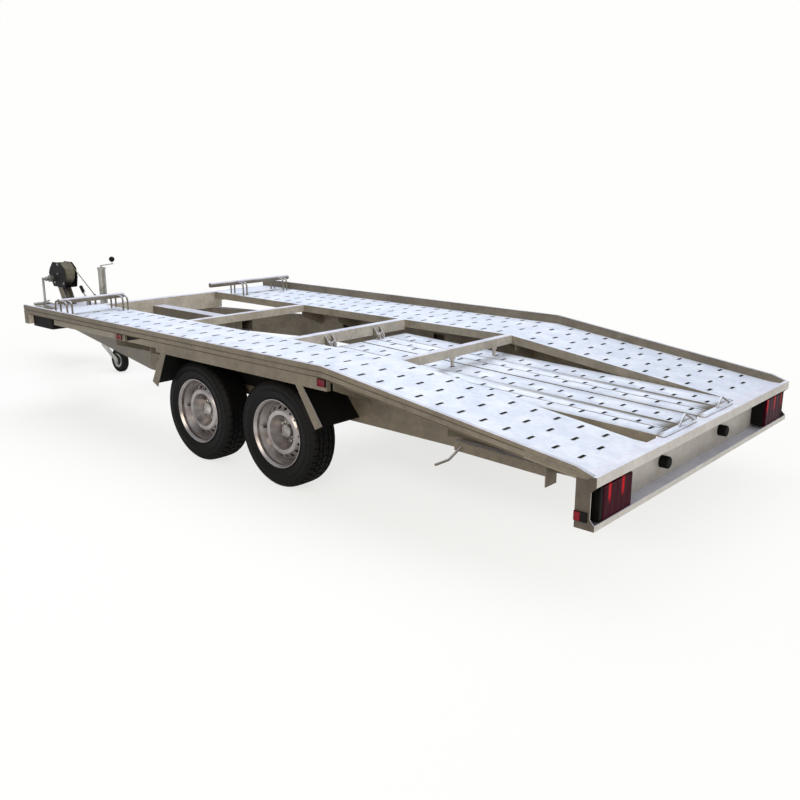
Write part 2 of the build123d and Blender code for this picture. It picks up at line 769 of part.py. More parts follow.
def ramp_tongue(low, high):
    """The flat tongue that lies on the tail beam, one corner clipped off."""
    front = TAIL_DEPTH + RAMP_SWING_GAP + RAMP_TONGUE
    plan = [
        (RAMP_REAR, low + TONGUE_CLIP),
        (RAMP_REAR, high - TONGUE_NIP),
        (RAMP_REAR + TONGUE_NIP, high),
        (front, high),
        (front, low),
        (RAMP_REAR + TONGUE_CLIP_DEPTH, low),
    ]
    return flat_plate(plan, TAIL_TOP + SEAT_GAP, TAIL_TOP + SEAT_GAP + TONGUE_SHEET)


def ramp_handle(foot_offset):
    """A bent wire handle, steep at its left foot and sloping to its right one."""
    foot = TAIL_TOP + SEAT_GAP + TONGUE_SHEET - HANDLE_RADIUS / 4
    points = [
        (HANDLE_STATION, foot_offset, foot),
        (HANDLE_STATION, foot_offset - HANDLE_CREST, foot + HANDLE_RISE),
        (HANDLE_STATION, foot_offset - HANDLE_WIDTH, foot),
    ]
    return rod(points, HANDLE_RADIUS, HANDLE_BEND)


def ramp(low, pin_offset, handle_foot):
    """A slotted channel ramp with a tongue on the tail beam and pivot ears."""
    high = low + RAMP_WIDTH
    centre = (low + high) / 2
    rear = TAIL_DEPTH + RAMP_SWING_GAP
    body = ramp_band(rear, RAMP_FRONT, 0, RAMP_SHEET, low, high)
    for offset in RAMP_RIDGE_OFFSETS:
        y = centre + offset
        body = body + ramp_band(
            rear, RAMP_FRONT, -RAMP_RIDGE, RAMP_SHEET, y - RAMP_RIDGE_WIDTH / 2, y + RAMP_RIDGE_WIDTH / 2
        )
    body = body - ramp_slots(centre)
    for y in (low, high - RAMP_SHEET):
        body = body + ramp_band(rear, RAMP_FRONT, 0, RAMP_DEPTH, y, y + RAMP_SHEET)
    body = body + ramp_tongue(low, high)
    for side in (-1, 1):
        y = pin_offset + side * (LUG_SPREAD / 2 - LUG_SHEET / 2 - EAR_GAP - EAR_SHEET / 2)
        ear = cross_round(RAMP_PIN_STATION, RAMP_PIN_LEVEL, EAR_RADIUS, y - EAR_SHEET / 2, y + EAR_SHEET / 2)
        back = RAMP_PIN_STATION - EAR_RADIUS * 2
        foot = bar(
            back, RAMP_FRONT, y - EAR_SHEET / 2, y + EAR_SHEET / 2,
            ramp_level(back) - RAMP_SHEET, RAMP_PIN_LEVEL,
        )
        body = body + ear + foot
    bore = cross_round(RAMP_PIN_STATION, RAMP_PIN_LEVEL, RAMP_PIN_RADIUS + STUB_FIT, low, high)
    return body - bore + ramp_handle(handle_foot)


# Tail props
PROP_FOOT_SHEET = 6.0
PROP_FOOT_HEIGHT = 84.0
PROP_FOOT_WIDTH = 84.0
PROP_SHEET = 4.0
PROP_TAIL = 38.0
PROP_DROP = 14.0
CRANK_RADIUS = 6.0
CRANK_OUT = 92.0
CRANK_DROP = 40.0
CRANK_GRIP = 95.0
CRANK_BEND = 18.0


def prop_leg():
    """A folded channel leg on its pivot, with a foot plate and a bent crank rod."""
    y0 = CHASSIS_OUTER + PROP_GAP
    y1 = y0 + PROP_WIDTH
    half = PROP_HEIGHT / 2
    x_front = PROP_PIVOT + PROP_TAIL
    x_rear = PROP_PIVOT - PROP_LENGTH
    outline = [
        (x_front, PROP_LEVEL - half),
        (x_front, PROP_LEVEL + half),
        (x_rear, PROP_LEVEL - PROP_DROP + half),
        (x_rear, PROP_LEVEL - PROP_DROP - half),
    ]
    solid = side_plate(outline, y0, y1)
    inside = [
        (x_front + OVERRUN, PROP_LEVEL - half - OVERRUN),
        (x_front + OVERRUN, PROP_LEVEL + half - PROP_SHEET),
        (x_rear - OVERRUN, PROP_LEVEL - PROP_DROP + half - PROP_SHEET),
        (x_rear - OVERRUN, PROP_LEVEL - PROP_DROP - half - OVERRUN),
    ]
    leg = solid - side_plate(inside, y0 + PROP_SHEET, y1 - PROP_SHEET)
    middle = (y0 + y1) / 2
    foot_level = PROP_LEVEL - PROP_DROP
    foot = bar(
        x_rear - PROP_FOOT_SHEET, x_rear, y0, y0 + PROP_FOOT_WIDTH,
        foot_level - PROP_FOOT_HEIGHT / 2 - half / 2, foot_level + PROP_FOOT_HEIGHT / 2 - half / 2,
    )
    bore = cross_round(PROP_PIVOT, PROP_LEVEL, PROP_PIN_RADIUS + STUB_FIT, y0 - OVERRUN, y1 - PROP_SHEET)
    leg = leg + foot - bore
    start = y1 - PROP_SHEET
    points = [
        (PROP_PIVOT, start, PROP_LEVEL),
        (PROP_PIVOT, start + CRANK_OUT, PROP_LEVEL - CRANK_DROP),
        (PROP_PIVOT, start + CRANK_OUT + CRANK_GRIP, PROP_LEVEL - CRANK_DROP),
    ]
    return leg + rod(points, CRANK_RADIUS, CRANK_BEND)


# Drawbar
def leg_offset(x):
    """The outer face of the left drawbar leg at a station."""
    return CHASSIS_OUTER - LEG_SLOPE * (x - CHASSIS_FRONT)


def drawbar_leg():
    run = LEG_NOSE - CHASSIS_FRONT
    stretch = math.hypot(1, LEG_SLOPE)
    length = run * stretch
    bend = (DECK_LENGTH - CHASSIS_FRONT) * stretch
    outline = [
        (-LEG_THICKNESS, CHASSIS_BOTTOM),
        (length, CHASSIS_BOTTOM),
        (length, LEG_NOSE_TOP),
        (bend, LEG_TOP),
        (-LEG_THICKNESS, LEG_TOP),
    ]
    w = CHASSIS_WALL
    inside = [
        (-LEG_THICKNESS - OVERRUN, CHASSIS_BOTTOM + w),
        (length - w, CHASSIS_BOTTOM + w),
        (length - w, LEG_NOSE_TOP - w),
        (bend, LEG_TOP - w),
        (-LEG_THICKNESS - OVERRUN, LEG_TOP - w),
    ]
    leg = side_plate(outline, -LEG_THICKNESS, 0) - side_plate(inside, -LEG_THICKNESS + w, -w)
    turn = -math.degrees(math.atan(LEG_SLOPE))
    leg = Pos(CHASSIS_FRONT, CHASSIS_OUTER, 0) * Rot(0, 0, turn) * leg
    behind = bar(
        CHASSIS_FRONT - HALF_WIDTH, CHASSIS_FRONT, 0, HALF_WIDTH,
        CHASSIS_BOTTOM - OVERRUN, PLANK_TOP,
    )
    return leg - behind


def drawbar_bridge():
    """The beam between the drawbar legs that carries the jockey wheel's clamp."""
    x0 = BRIDGE_STATION - BRIDGE_WIDTH / 2
    x1 = BRIDGE_STATION + BRIDGE_WIDTH / 2
    skew = LEG_THICKNESS * math.hypot(1, LEG_SLOPE)
    y0 = leg_offset(x0) - skew
    y1 = leg_offset(x1) - skew
    points = [(x0, -y0), (x1, -y1), (x1, y1), (x0, y0)]
    w = TUBE_WALL
    outer = flat_plate(points, BRIDGE_TOP - BRIDGE_HEIGHT, BRIDGE_TOP)
    hollow = bar(x0 + w, x1 - w, -HALF_WIDTH, HALF_WIDTH, BRIDGE_TOP - BRIDGE_HEIGHT + w, BRIDGE_TOP - w)
    return outer - hollow


HOUSING_LENGTH = 350.0
HOUSING_REAR = LEG_NOSE - HOUSING_LENGTH
HOUSING_LEVEL = (CHASSIS_BOTTOM + LEG_NOSE_TOP) / 2
HOUSING_RADIUS = (LEG_NOSE_TOP - CHASSIS_BOTTOM) / 2 - SEAT_GAP
NOSE_CAP = 12.0
SHAFT_RADIUS = 25.0
HEAD_SETBACK = 190.0
GAITER_FRONT = OVERALL_LENGTH - HEAD_SETBACK
GAITER_RADIUS = 40.0
GAITER_NECK = 33.0
GAITER_FOLDS = 7
HEAD_WIDTH = 74.0
BALL_RADIUS = 25.3
BALL_SETBACK = 40.0
BALL_STATION = OVERALL_LENGTH - BALL_SETBACK
BALL_LEVEL = 400.0


def nose_plate():
    """The plates on and under the drawbar's nose that hold the overrun housing."""
    x0 = NOSE_PLATE_REAR
    x1 = LEG_NOSE
    z0 = nose_level(x0) - NOSE_PLATE
    points = [(x0, z0), (x1, LEG_NOSE_TOP), (x1, LEG_NOSE_TOP + NOSE_PLATE), (x0, z0 + NOSE_PLATE)]
    y0 = leg_offset(x0)
    y1 = leg_offset(x1)
    plan = [(x0, -y0), (x1, -y1), (x1, y1), (x0, y0)]
    top = side_plate(points, -y0, y0) & flat_plate(plan, 0, PLANK_TOP)
    bottom = flat_plate(plan, CHASSIS_BOTTOM - NOSE_PLATE, CHASSIS_BOTTOM)
    return Compound(children=[top, bottom])


def overrun_housing():
    """The overrun device's tube between the legs and its cap plate at the nose."""
    tube = Pos((HOUSING_REAR + LEG_NOSE) / 2, 0, HOUSING_LEVEL) * Rot(0, 90, 0) * Cylinder(
        HOUSING_RADIUS, LEG_NOSE - HOUSING_REAR
    )
    reach = leg_offset(LEG_NOSE)
    cap = bar(
        LEG_NOSE, LEG_NOSE + NOSE_CAP, -reach, reach,
        CHASSIS_BOTTOM - NOSE_PLATE, LEG_NOSE_TOP + NOSE_PLATE,
    )
    return tube + cap


def shaft_round(x0, x1, radius):
    """A round along the coupling's shaft."""
    return Pos((x0 + x1) / 2, 0, HOUSING_LEVEL) * Rot(0, 90, 0) * Cylinder(radius, x1 - x0)


def gaiter():
    """The rubber bellows over the coupling shaft."""
    rear = LEG_NOSE + NOSE_CAP
    pitch = (GAITER_FRONT - rear) / GAITER_FOLDS
    points = [(rear, SHAFT_RADIUS + SEAT_GAP)]
    for i in range(GAITER_FOLDS):
        points.append((rear + i * pitch, GAITER_NECK))
        points.append((rear + i * pitch + pitch / 2, GAITER_RADIUS))
    points.append((GAITER_FRONT, GAITER_NECK))
    points.append((GAITER_FRONT, SHAFT_RADIUS + SEAT_GAP))
    face = make_face(Plane.XZ * Polyline(*points, close=True))
    return Pos(0, 0, HOUSING_LEVEL) * revolve(face, axis=Axis.X)


HEAD_REAR = GAITER_FRONT
HEAD_TOP = 456.0
HEAD_LOW = 418.0
HEAD_SKIRT = 378.0
HEAD_BROW = 440.0
HANDLE_TOP = 500.0
HANDLE_HINGE_SETBACK = 85.0
HANDLE_TAIL_SETBACK = 218.0
HANDLE_HINGE = OVERALL_LENGTH - HANDLE_HINGE_SETBACK
HANDLE_TAIL = OVERALL_LENGTH - HANDLE_TAIL_SETBACK
HANDLE_SHEET = 14.0
HANDLE_HALF_WIDTH = 11.0


def coupling_head():
    """The shaft and the pressed ball head with its lifting handle."""
    shaft = shaft_round(LEG_NOSE + NOSE_CAP, HEAD_REAR + HANDLE_HALF_WIDTH * 2, SHAFT_RADIUS)
    half = HEAD_WIDTH / 2
    nose = OVERALL_LENGTH
    outline = [
        (HEAD_REAR, HEAD_LOW - BALL_RADIUS / 2),
        (HEAD_REAR, HEAD_TOP + BALL_RADIUS / 4),
        (BALL_STATION - half, HEAD_TOP),
        (BALL_STATION + half / 2, HEAD_BROW),
        (nose, HEAD_LOW),
        (nose, HEAD_SKIRT),
        (BALL_STATION - half, HEAD_SKIRT),
        (BALL_STATION - half - HANDLE_SHEET, HEAD_LOW - BALL_RADIUS / 2),
    ]
    body = side_plate(outline, -half, half)
    plan = bar(HEAD_REAR, nose - half, -half, half, HEAD_SKIRT, HANDLE_TOP) + upright(
        nose - half, 0, half, HEAD_SKIRT, HANDLE_TOP
    )
    body = body & plan
    socket = Pos(BALL_STATION, 0, BALL_LEVEL) * Sphere(BALL_RADIUS)
    mouth = upright(BALL_STATION, 0, BALL_RADIUS, HEAD_SKIRT - OVERRUN, BALL_LEVEL)
    handle = side_plate(
        [
            (HANDLE_HINGE, HEAD_BROW),
            (HANDLE_HINGE + HANDLE_SHEET, HEAD_TOP + HANDLE_SHEET / 2),
            (HANDLE_TAIL, HANDLE_TOP),
            (HANDLE_TAIL, HANDLE_TOP - HANDLE_SHEET),
            (HANDLE_HINGE - HANDLE_SHEET * 2, HEAD_TOP + HANDLE_SHEET / 2),
            (HANDLE_HINGE - HANDLE_SHEET * 2, HEAD_BROW),
        ],
        -HANDLE_HALF_WIDTH, HANDLE_HALF_WIDTH,
    )
    return shaft + body + handle - socket - mouth


LEVER_LEAD = 50.0
LEVER_REACH = 112.0
LEVER_STATION = NOSE_PLATE_REAR + LEVER_LEAD
LEVER_PIVOT = 548.0
LEVER_TIP_STATION = LEVER_STATION + LEVER_REACH
LEVER_TIP = 676.0
LEVER_WIDTH = 24.0
LEVER_SHEET = 6.0
LEVER_GRIP_RADIUS = 14.0
LEVER_GRIP_SHARE = 0.62
LEVER_EAR = 5.0


def handbrake():
    """The brake lever with its grip between two ears on the nose plate."""
    dx = LEVER_TIP_STATION - LEVER_STATION
    dz = LEVER_TIP - LEVER_PIVOT
    length = math.hypot(dx, dz)
    tilt = math.degrees(math.atan2(dx, dz))
    place = Pos(LEVER_STATION, 0, LEVER_PIVOT) * Rot(0, tilt, 0)
    blade = place * bar(
        -LEVER_WIDTH / 2, LEVER_WIDTH / 2, -LEVER_SHEET / 2, LEVER_SHEET / 2, 0, length * LEVER_GRIP_SHARE
    )
    boss = cross_round(LEVER_STATION, LEVER_PIVOT, LEVER_WIDTH / 2, -LEVER_SHEET / 2, LEVER_SHEET / 2)
    pin = cross_round(LEVER_STATION, LEVER_PIVOT, LEVER_EAR, -LEVER_WIDTH / 2, LEVER_WIDTH / 2)
    frame = blade + boss + pin
    x0 = LEVER_STATION - LEVER_WIDTH
    x1 = LEVER_STATION + LEVER_WIDTH
    top = LEVER_PIVOT + LEVER_WIDTH / 2
    ear = [(x0, nose_level(x0)), (x1, nose_level(x1)), (x1, top), (x0, top)]
    for side in (-1, 1):
        y = side * (LEVER_SHEET / 2 + LEVER_EAR / 2 + SEAT_GAP)
        frame = frame + side_plate(ear, y - LEVER_EAR / 2, y + LEVER_EAR / 2)
    grip = place * upright(0, 0, LEVER_GRIP_RADIUS, length * LEVER_GRIP_SHARE, length)
    return frame, grip


# Winch
POST_SETBACK = 80.0
POST_FOOT_STATION = WINCH_STATION - POST_SETBACK
POST_DEPTH = 74.0
POST_WIDTH = 84.0
POST_LEAN = 27.0
POST_WALL = 5.0
WINCH_OUTLINE_SHARES = [
    (0.50, 0.02), (0.42, 0.22), (0.22, 0.50), (-0.24, 0.50), (-0.46, 0.28),
    (-0.50, -0.06), (-0.42, -0.50), (0.27, -0.50),
]
WINCH_CORNER = 18.0
WINCH_BASE_SHARES = (-0.38, 0.2)
DRUM_CORE_RADIUS = 34.0
DRUM_CENTRE_SHIFT = -20.0
DRUM_CENTRE_RISE = 10.0
ROPE_RADIUS = 100.0
ROPE_RUN_RADIUS = 4.0
ROPE_TURNS = 9
ROPE_OFFSET = -44.0
HOOK_LEAD = 15.0
HOOK_STATION = NOSE_PLATE_REAR + HOOK_LEAD
HOOK_LEVEL = 607.0
HOOK_LUG = 24.0
HOOK_LUG_SHEET = 8.0
CRANK_LEAD = 90.0
CRANK_HUB_STATION = WINCH_STATION + CRANK_LEAD
CRANK_HUB_LEVEL = 720.0
CRANK_HUB_RADIUS = 30.0
CRANK_HUB_REACH = 62.0
CRANK_SHAFT_RADIUS = 11.0
CRANK_SHAFT_REACH = 92.0
CRANK_ARM = 225.0
CRANK_ARM_WIDTH = 26.0
CRANK_ARM_SHEET = 10.0
CRANK_KNOB = 95.0
CRANK_KNOB_RADIUS = 13.0
WINCH_BOTTOM = WINCH_LEVEL - WINCH_HEIGHT / 2


def winch_post():
    """A leaning channel post, open to the rear, between the nose plate and winch."""
    half = POST_DEPTH / 2
    lean = math.tan(math.radians(POST_LEAN))
    base = nose_level(POST_FOOT_STATION)
    shift = (WINCH_BOTTOM - base) * lean
    points = [
        (POST_FOOT_STATION - half, nose_level(POST_FOOT_STATION - half)),
        (POST_FOOT_STATION + half, nose_level(POST_FOOT_STATION + half)),
        (POST_FOOT_STATION + half + shift, WINCH_BOTTOM),
        (POST_FOOT_STATION - half + shift, WINCH_BOTTOM),
    ]
    w = POST_WALL
    drop = OVERRUN
    inside = [
        (POST_FOOT_STATION - half - w - drop, base - drop),
        (POST_FOOT_STATION + half - w - drop * lean, base - drop),
        (POST_FOOT_STATION + half - w + shift + drop * lean, WINCH_BOTTOM + drop),
        (POST_FOOT_STATION - half - w - drop + shift, WINCH_BOTTOM + drop),
    ]
    return side_plate(points, -POST_WIDTH / 2, POST_WIDTH / 2) - side_plate(
        inside, -POST_WIDTH / 2 + w, POST_WIDTH / 2 - w
    )


def winch_frame():
    """Two side plates with rounded corners, a base and the drum's core."""
    points = [
        (WINCH_STATION + WINCH_LENGTH * sx, WINCH_LEVEL + WINCH_HEIGHT * sz)
        for sx, sz in WINCH_OUTLINE_SHARES
    ]
    face = make_face(Plane.XZ * Polyline(*points, close=True))
    face = fillet(face.vertices(), WINCH_CORNER)
    half = WINCH_WIDTH / 2
    near = Pos(0, half - WINCH_SHEET, 0) * extrude(face, amount=WINCH_SHEET, dir=(0, 1, 0))
    far = Pos(0, -half, 0) * extrude(face, amount=WINCH_SHEET, dir=(0, 1, 0))
    rear, front = (WINCH_STATION + WINCH_LENGTH * share for share in WINCH_BASE_SHARES)
    base = bar(
        rear, front, -half + WINCH_SHEET, half - WINCH_SHEET, WINCH_BOTTOM, WINCH_BOTTOM + WINCH_SHEET
    )
    core = cross_round(
        WINCH_STATION + DRUM_CENTRE_SHIFT, WINCH_LEVEL + DRUM_CENTRE_RISE, DRUM_CORE_RADIUS,
        -half + WINCH_SHEET, half - WINCH_SHEET,
    )
    return near + far + base + core


def winch_rope():
    """The wound rope, its taut run and the lug on the nose that its hook holds."""
    x = WINCH_STATION + DRUM_CENTRE_SHIFT
    z = WINCH_LEVEL + DRUM_CENTRE_RISE
    half = WINCH_WIDTH / 2 - WINCH_SHEET - ROPE_RUN_RADIUS
    pitch = 2 * half / ROPE_TURNS
    points = [(DRUM_CORE_RADIUS + SEAT_GAP, -half)]
    for i in range(ROPE_TURNS):
        points.append((ROPE_RADIUS - ROPE_RUN_RADIUS, -half + i * pitch))
        points.append((ROPE_RADIUS, -half + i * pitch + pitch / 2))
    points.append((ROPE_RADIUS - ROPE_RUN_RADIUS, half))
    points.append((DRUM_CORE_RADIUS + SEAT_GAP, half))
    coil = turned(points, x, z, 0)
    reach = math.hypot(x - HOOK_STATION, z - HOOK_LEVEL)
    angle = math.atan2(z - HOOK_LEVEL, x - HOOK_STATION)
    lift = math.asin((ROPE_RADIUS - ROPE_RUN_RADIUS * 2) / reach)
    run = reach * math.cos(lift)
    end = Vector(
        HOOK_STATION + run * math.cos(angle + lift), ROPE_OFFSET, HOOK_LEVEL + run * math.sin(angle + lift)
    )
    start = Vector(HOOK_STATION, ROPE_OFFSET, HOOK_LEVEL)
    line = Plane(origin=start, z_dir=end - start) * Pos(0, 0, run / 2) * Cylinder(ROPE_RUN_RADIUS, run)
    x0 = HOOK_STATION - HOOK_LUG / 2
    x1 = HOOK_STATION + HOOK_LUG / 2
    top = HOOK_LEVEL + HOOK_LUG / 2
    lug = side_plate(
        [(x0, nose_level(x0)), (x1, nose_level(x1)), (x1, top), (x0, top)],
        ROPE_OFFSET - HOOK_LUG_SHEET / 2, ROPE_OFFSET + HOOK_LUG_SHEET / 2,
    )
    return coil + line + lug


def winch_crank():
    """The light metal gear hub on the left plate and its hanging crank."""
    y0 = WINCH_WIDTH / 2
    hub = cross_round(CRANK_HUB_STATION, CRANK_HUB_LEVEL, CRANK_HUB_RADIUS, y0, y0 + CRANK_HUB_REACH / 2)
    neck = cross_round(
        CRANK_HUB_STATION, CRANK_HUB_LEVEL, CRANK_HUB_RADIUS * 2 / 3, y0, y0 + CRANK_HUB_REACH
    )
    shaft = cross_round(CRANK_HUB_STATION, CRANK_HUB_LEVEL, CRANK_SHAFT_RADIUS, y0, y0 + CRANK_SHAFT_REACH)
    y1 = y0 + CRANK_SHAFT_REACH
    arm = bar(
        CRANK_HUB_STATION - CRANK_ARM_WIDTH / 2, CRANK_HUB_STATION + CRANK_ARM_WIDTH / 2,
        y1 - CRANK_ARM_SHEET, y1, CRANK_HUB_LEVEL - CRANK_ARM, CRANK_HUB_LEVEL + CRANK_ARM_WIDTH / 2,
    )
    knob = cross_round(
        CRANK_HUB_STATION, CRANK_HUB_LEVEL - CRANK_ARM + CRANK_KNOB_RADIUS, CRANK_KNOB_RADIUS,
        y1, y1 + CRANK_KNOB,
    )
    return hub + neck + shaft + arm + knob


# Jockey wheel
CLAMP_HEIGHT = 66.0
CLAMP_WALL = 9.0
JOCKEY_CAP = 8.0
JOCKEY_SPINDLE = 7.0
JOCKEY_SPINDLE_RISE = 15.0
JOCKEY_ARM = 175.0
JOCKEY_ARM_RISE = 28.0
JOCKEY_KNOB_RADIUS = 22.0
JOCKEY_KNOB_RISE = 37.0
JOCKEY_PIVOT_RADIUS = 12.0
JOCKEY_WASHER_RADIUS = 18.0
JOCKEY_CROWN = 16.0
JOCKEY_WASHER = 5.0
JOCKEY_CHEEK = 5.0
JOCKEY_CHEEK_GAP = 4.0
JOCKEY_CROWN_HALF = 38.0
JOCKEY_AXLE_RADIUS = 6.0
JOCKEY_CHEEK_TIP = 18.0
JOCKEY_HUB_RADIUS = 52.0
JOCKEY_HUB_DISH = 8.0


def jockey_clamp():
    """The clamp on the bridge that holds the jockey's outer tube."""
    face = BRIDGE_STATION + BRIDGE_WIDTH / 2
    half = JOCKEY_TUBE_RADIUS + CLAMP_WALL
    middle = BRIDGE_TOP - BRIDGE_HEIGHT / 2
    low = middle - CLAMP_HEIGHT / 2
    high = middle + CLAMP_HEIGHT / 2
    block = bar(face, JOCKEY_STATION, -half, half, low, high)
    ring = upright(JOCKEY_STATION, 0, half, low, high)
    return block + ring - upright(JOCKEY_STATION, 0, JOCKEY_TUBE_RADIUS, low - OVERRUN, high + OVERRUN)


def jockey_tube():
    tube = upright(JOCKEY_STATION, 0, JOCKEY_TUBE_RADIUS, JOCKEY_TUBE_BOTTOM, JOCKEY_TOP)
    bore = upright(
        JOCKEY_STATION, 0, JOCKEY_SLIDE_RADIUS + JOCKEY_SLIDE_FIT,
        JOCKEY_TUBE_BOTTOM - OVERRUN, JOCKEY_TOP - JOCKEY_CAP,
    )
    collar = upright(
        JOCKEY_STATION, 0, JOCKEY_TUBE_RADIUS + JOCKEY_CAP / 2, JOCKEY_TOP - JOCKEY_CAP * 2, JOCKEY_TOP
    )
    return tube + collar - bore


def jockey_crank():
    """The rising crank on top of the jockey's tube, with its ball knob."""
    r = JOCKEY_SPINDLE
    root = JOCKEY_TOP + JOCKEY_SPINDLE_RISE
    tip_x = JOCKEY_STATION - JOCKEY_ARM
    tip = root + JOCKEY_ARM_RISE
    spindle = upright(JOCKEY_STATION, 0, r, JOCKEY_TOP, root)
    arm = side_plate(
        [
            (tip_x - r, tip - r / 2), (JOCKEY_STATION + r, root - r / 2),
            (JOCKEY_STATION + r, root + r / 2), (tip_x - r, tip + r / 2),
        ],
        -r, r,
    )
    stem = upright(tip_x, 0, r / 2, tip, tip + JOCKEY_KNOB_RISE - JOCKEY_KNOB_RADIUS)
    knob = Pos(tip_x, 0, tip + JOCKEY_KNOB_RISE) * Sphere(JOCKEY_KNOB_RADIUS)
    return spindle + arm + stem, knob


def jockey_slider():
    """The inner tube and the pivot that the fork turns on."""
    crown_top = JOCKEY_FORK_TOP
    crown_low = crown_top - JOCKEY_CROWN
    tube = upright(JOCKEY_STATION, 0, JOCKEY_SLIDE_RADIUS, crown_top + SEAT_GAP, JOCKEY_SLIDE_TOP)
    pivot = upright(JOCKEY_STATION, 0, JOCKEY_PIVOT_RADIUS, crown_low - SEAT_GAP, crown_top + SEAT_GAP)
    washer = upright(
        JOCKEY_STATION, 0, JOCKEY_WASHER_RADIUS,
        crown_low - SEAT_GAP - JOCKEY_WASHER, crown_low - SEAT_GAP,
    )
    return tube + pivot + washer


def jockey_fork():
    """A crown plate, two trailing cheeks and the wheel's pin."""
    top = JOCKEY_FORK_TOP
    low = top - JOCKEY_CROWN
    half = JOCKEY_CROWN_HALF
    y1 = JOCKEY_WHEEL_WIDTH / 2 + JOCKEY_CHEEK_GAP
    y2 = y1 + JOCKEY_CHEEK
    crown = bar(JOCKEY_STATION - half, JOCKEY_STATION + half, -y2, y2, low, top)
    wheel_x = JOCKEY_STATION - JOCKEY_TRAIL
    fork = crown
    tip = JOCKEY_CHEEK_TIP
    outline = [
        (JOCKEY_STATION - half, top),
        (JOCKEY_STATION + half, top),
        (JOCKEY_STATION + half, low),
        (wheel_x + tip / 2, JOCKEY_WHEEL_RADIUS - tip),
        (wheel_x - tip / 2, JOCKEY_WHEEL_RADIUS - tip),
        (wheel_x - tip, JOCKEY_WHEEL_RADIUS),
        (wheel_x - tip / 2, JOCKEY_WHEEL_RADIUS + tip),
    ]
    for y in (-y2, y1):
        fork = fork + side_plate(outline, y, y + JOCKEY_CHEEK)
    reach = y2 + JOCKEY_CHEEK
    fork = fork + cross_round(wheel_x, JOCKEY_WHEEL_RADIUS, JOCKEY_AXLE_RADIUS, -reach, reach)
    bore = JOCKEY_PIVOT_RADIUS + JOCKEY_SLIDE_FIT
    return fork - upright(JOCKEY_STATION, 0, bore, low - OVERRUN, top + OVERRUN)


def jockey_wheel():
    half = JOCKEY_WHEEL_WIDTH / 2
    r = JOCKEY_WHEEL_RADIUS
    dish = JOCKEY_HUB_DISH
    bore = JOCKEY_AXLE_RADIUS + JOCKEY_SLIDE_FIT
    points = [
        (bore, -half),
        (JOCKEY_HUB_RADIUS / 2, -half),
        (JOCKEY_HUB_RADIUS / 2 + dish, -half + dish),
        (JOCKEY_HUB_RADIUS, -half + dish),
        (JOCKEY_HUB_RADIUS + dish, -half),
        (r - dish, -half),
        (r, -half + dish),
        (r, half - dish),
        (r - dish, half),
        (JOCKEY_HUB_RADIUS + dish, half),
        (JOCKEY_HUB_RADIUS, half - dish),
        (JOCKEY_HUB_RADIUS / 2 + dish, half - dish),
        (JOCKEY_HUB_RADIUS / 2, half),
        (bore, half),
    ]
    return turned(points, JOCKEY_STATION - JOCKEY_TRAIL, r, 0)


# Mudguards, side skirts and lamps
GUARD_SHEET = 3.0
GUARD_TOP = 625.0
GUARD_SETBACK = 12.0
GUARD_OUTER = HALF_WIDTH - GUARD_SETBACK
GUARD_REAR_TOP = 1690.0
GUARD_REAR_LOW = 1520.0
GUARD_FRONT_TOP = 2803.0
GUARD_LOW = 428.0
STRIP_WIDTH = 50.0
STRIP_SHEET = 4.0
SKIRT_REAR = 1460.0
SKIRT_FRONT = 2890.0
SKIRT_SETBACK = 3.0
SKIRT_OUTER = HALF_WIDTH - SKIRT_SETBACK


def mudguard():
    """A tandem guard: one sheet over both wheels with a flap at each end."""
    t = GUARD_SHEET
    points = [
        (GUARD_REAR_LOW, GUARD_LOW),
        (GUARD_REAR_TOP, GUARD_TOP),
        (GUARD_FRONT_TOP, GUARD_TOP),
        (GUARD_FRONT_LOW, GUARD_LOW),
        (GUARD_FRONT_LOW - t, GUARD_LOW),
        (GUARD_FRONT_TOP - t, GUARD_TOP - t),
        (GUARD_REAR_TOP + t, GUARD_TOP - t),
        (GUARD_REAR_LOW + t, GUARD_LOW),
    ]
    return side_plate(points, CHASSIS_OUTER, GUARD_OUTER)


def skirt():
    """The bare side panel over the wheels, with its two strips down to the flaps."""
    t = GUARD_SHEET
    face = bar(SKIRT_REAR, SKIRT_FRONT, SKIRT_OUTER - t, SKIRT_OUTER, GUARD_TOP, PLANK_TOP - PLANK_SHEET)
    low = bar(SKIRT_REAR, SKIRT_FRONT, PLANK_OUTER_WEB, SKIRT_OUTER, GUARD_TOP, GUARD_TOP + t)
    panel = face + low
    for x in (SKIRT_REAR, SKIRT_FRONT - t):
        panel = panel + bar(x, x + t, PLANK_OUTER_WEB, SKIRT_OUTER, GUARD_TOP, PLANK_TOP - PLANK_SHEET)
    panel = panel - band(0, KINK_STATION, -HALF_WIDTH, PLANK_SHEET, 0, HALF_WIDTH)
    for x_top, x_low in ((GUARD_REAR_TOP, GUARD_REAR_LOW), (GUARD_FRONT_TOP, GUARD_FRONT_LOW)):
        side = 1 if x_low < x_top else -1
        points = [
            (x_top - side * STRIP_WIDTH, GUARD_TOP),
            (x_low - side * STRIP_WIDTH / 3, GUARD_LOW + STRIP_WIDTH / 4),
            (x_low + side * STRIP_WIDTH * 2 / 3, GUARD_LOW - STRIP_WIDTH / 4),
            (x_top, GUARD_TOP),
        ]
        panel = panel + side_plate(points, GUARD_OUTER, GUARD_OUTER + STRIP_SHEET)
    return panel


MARKER_THICK = 10.0
MARKER_WIDTH = 58.0
MARKER_HEIGHT = 46.0
MARKER_LEVEL = 668.0
REAR_MARKER_LEVEL = 366.0
REAR_MARKER_HEIGHT = 40.0
FRONT_MARKER_STATION = 3285.0
FRONT_MARKER_WIDTH = 120.0
FRONT_MARKER_HEIGHT = 42.0
FRONT_LENS_WIDTH = 62.0
FRONT_LENS_THICK = 5.0
WEDGE_LENGTH = 195.0
WEDGE_SHEET = 4.0


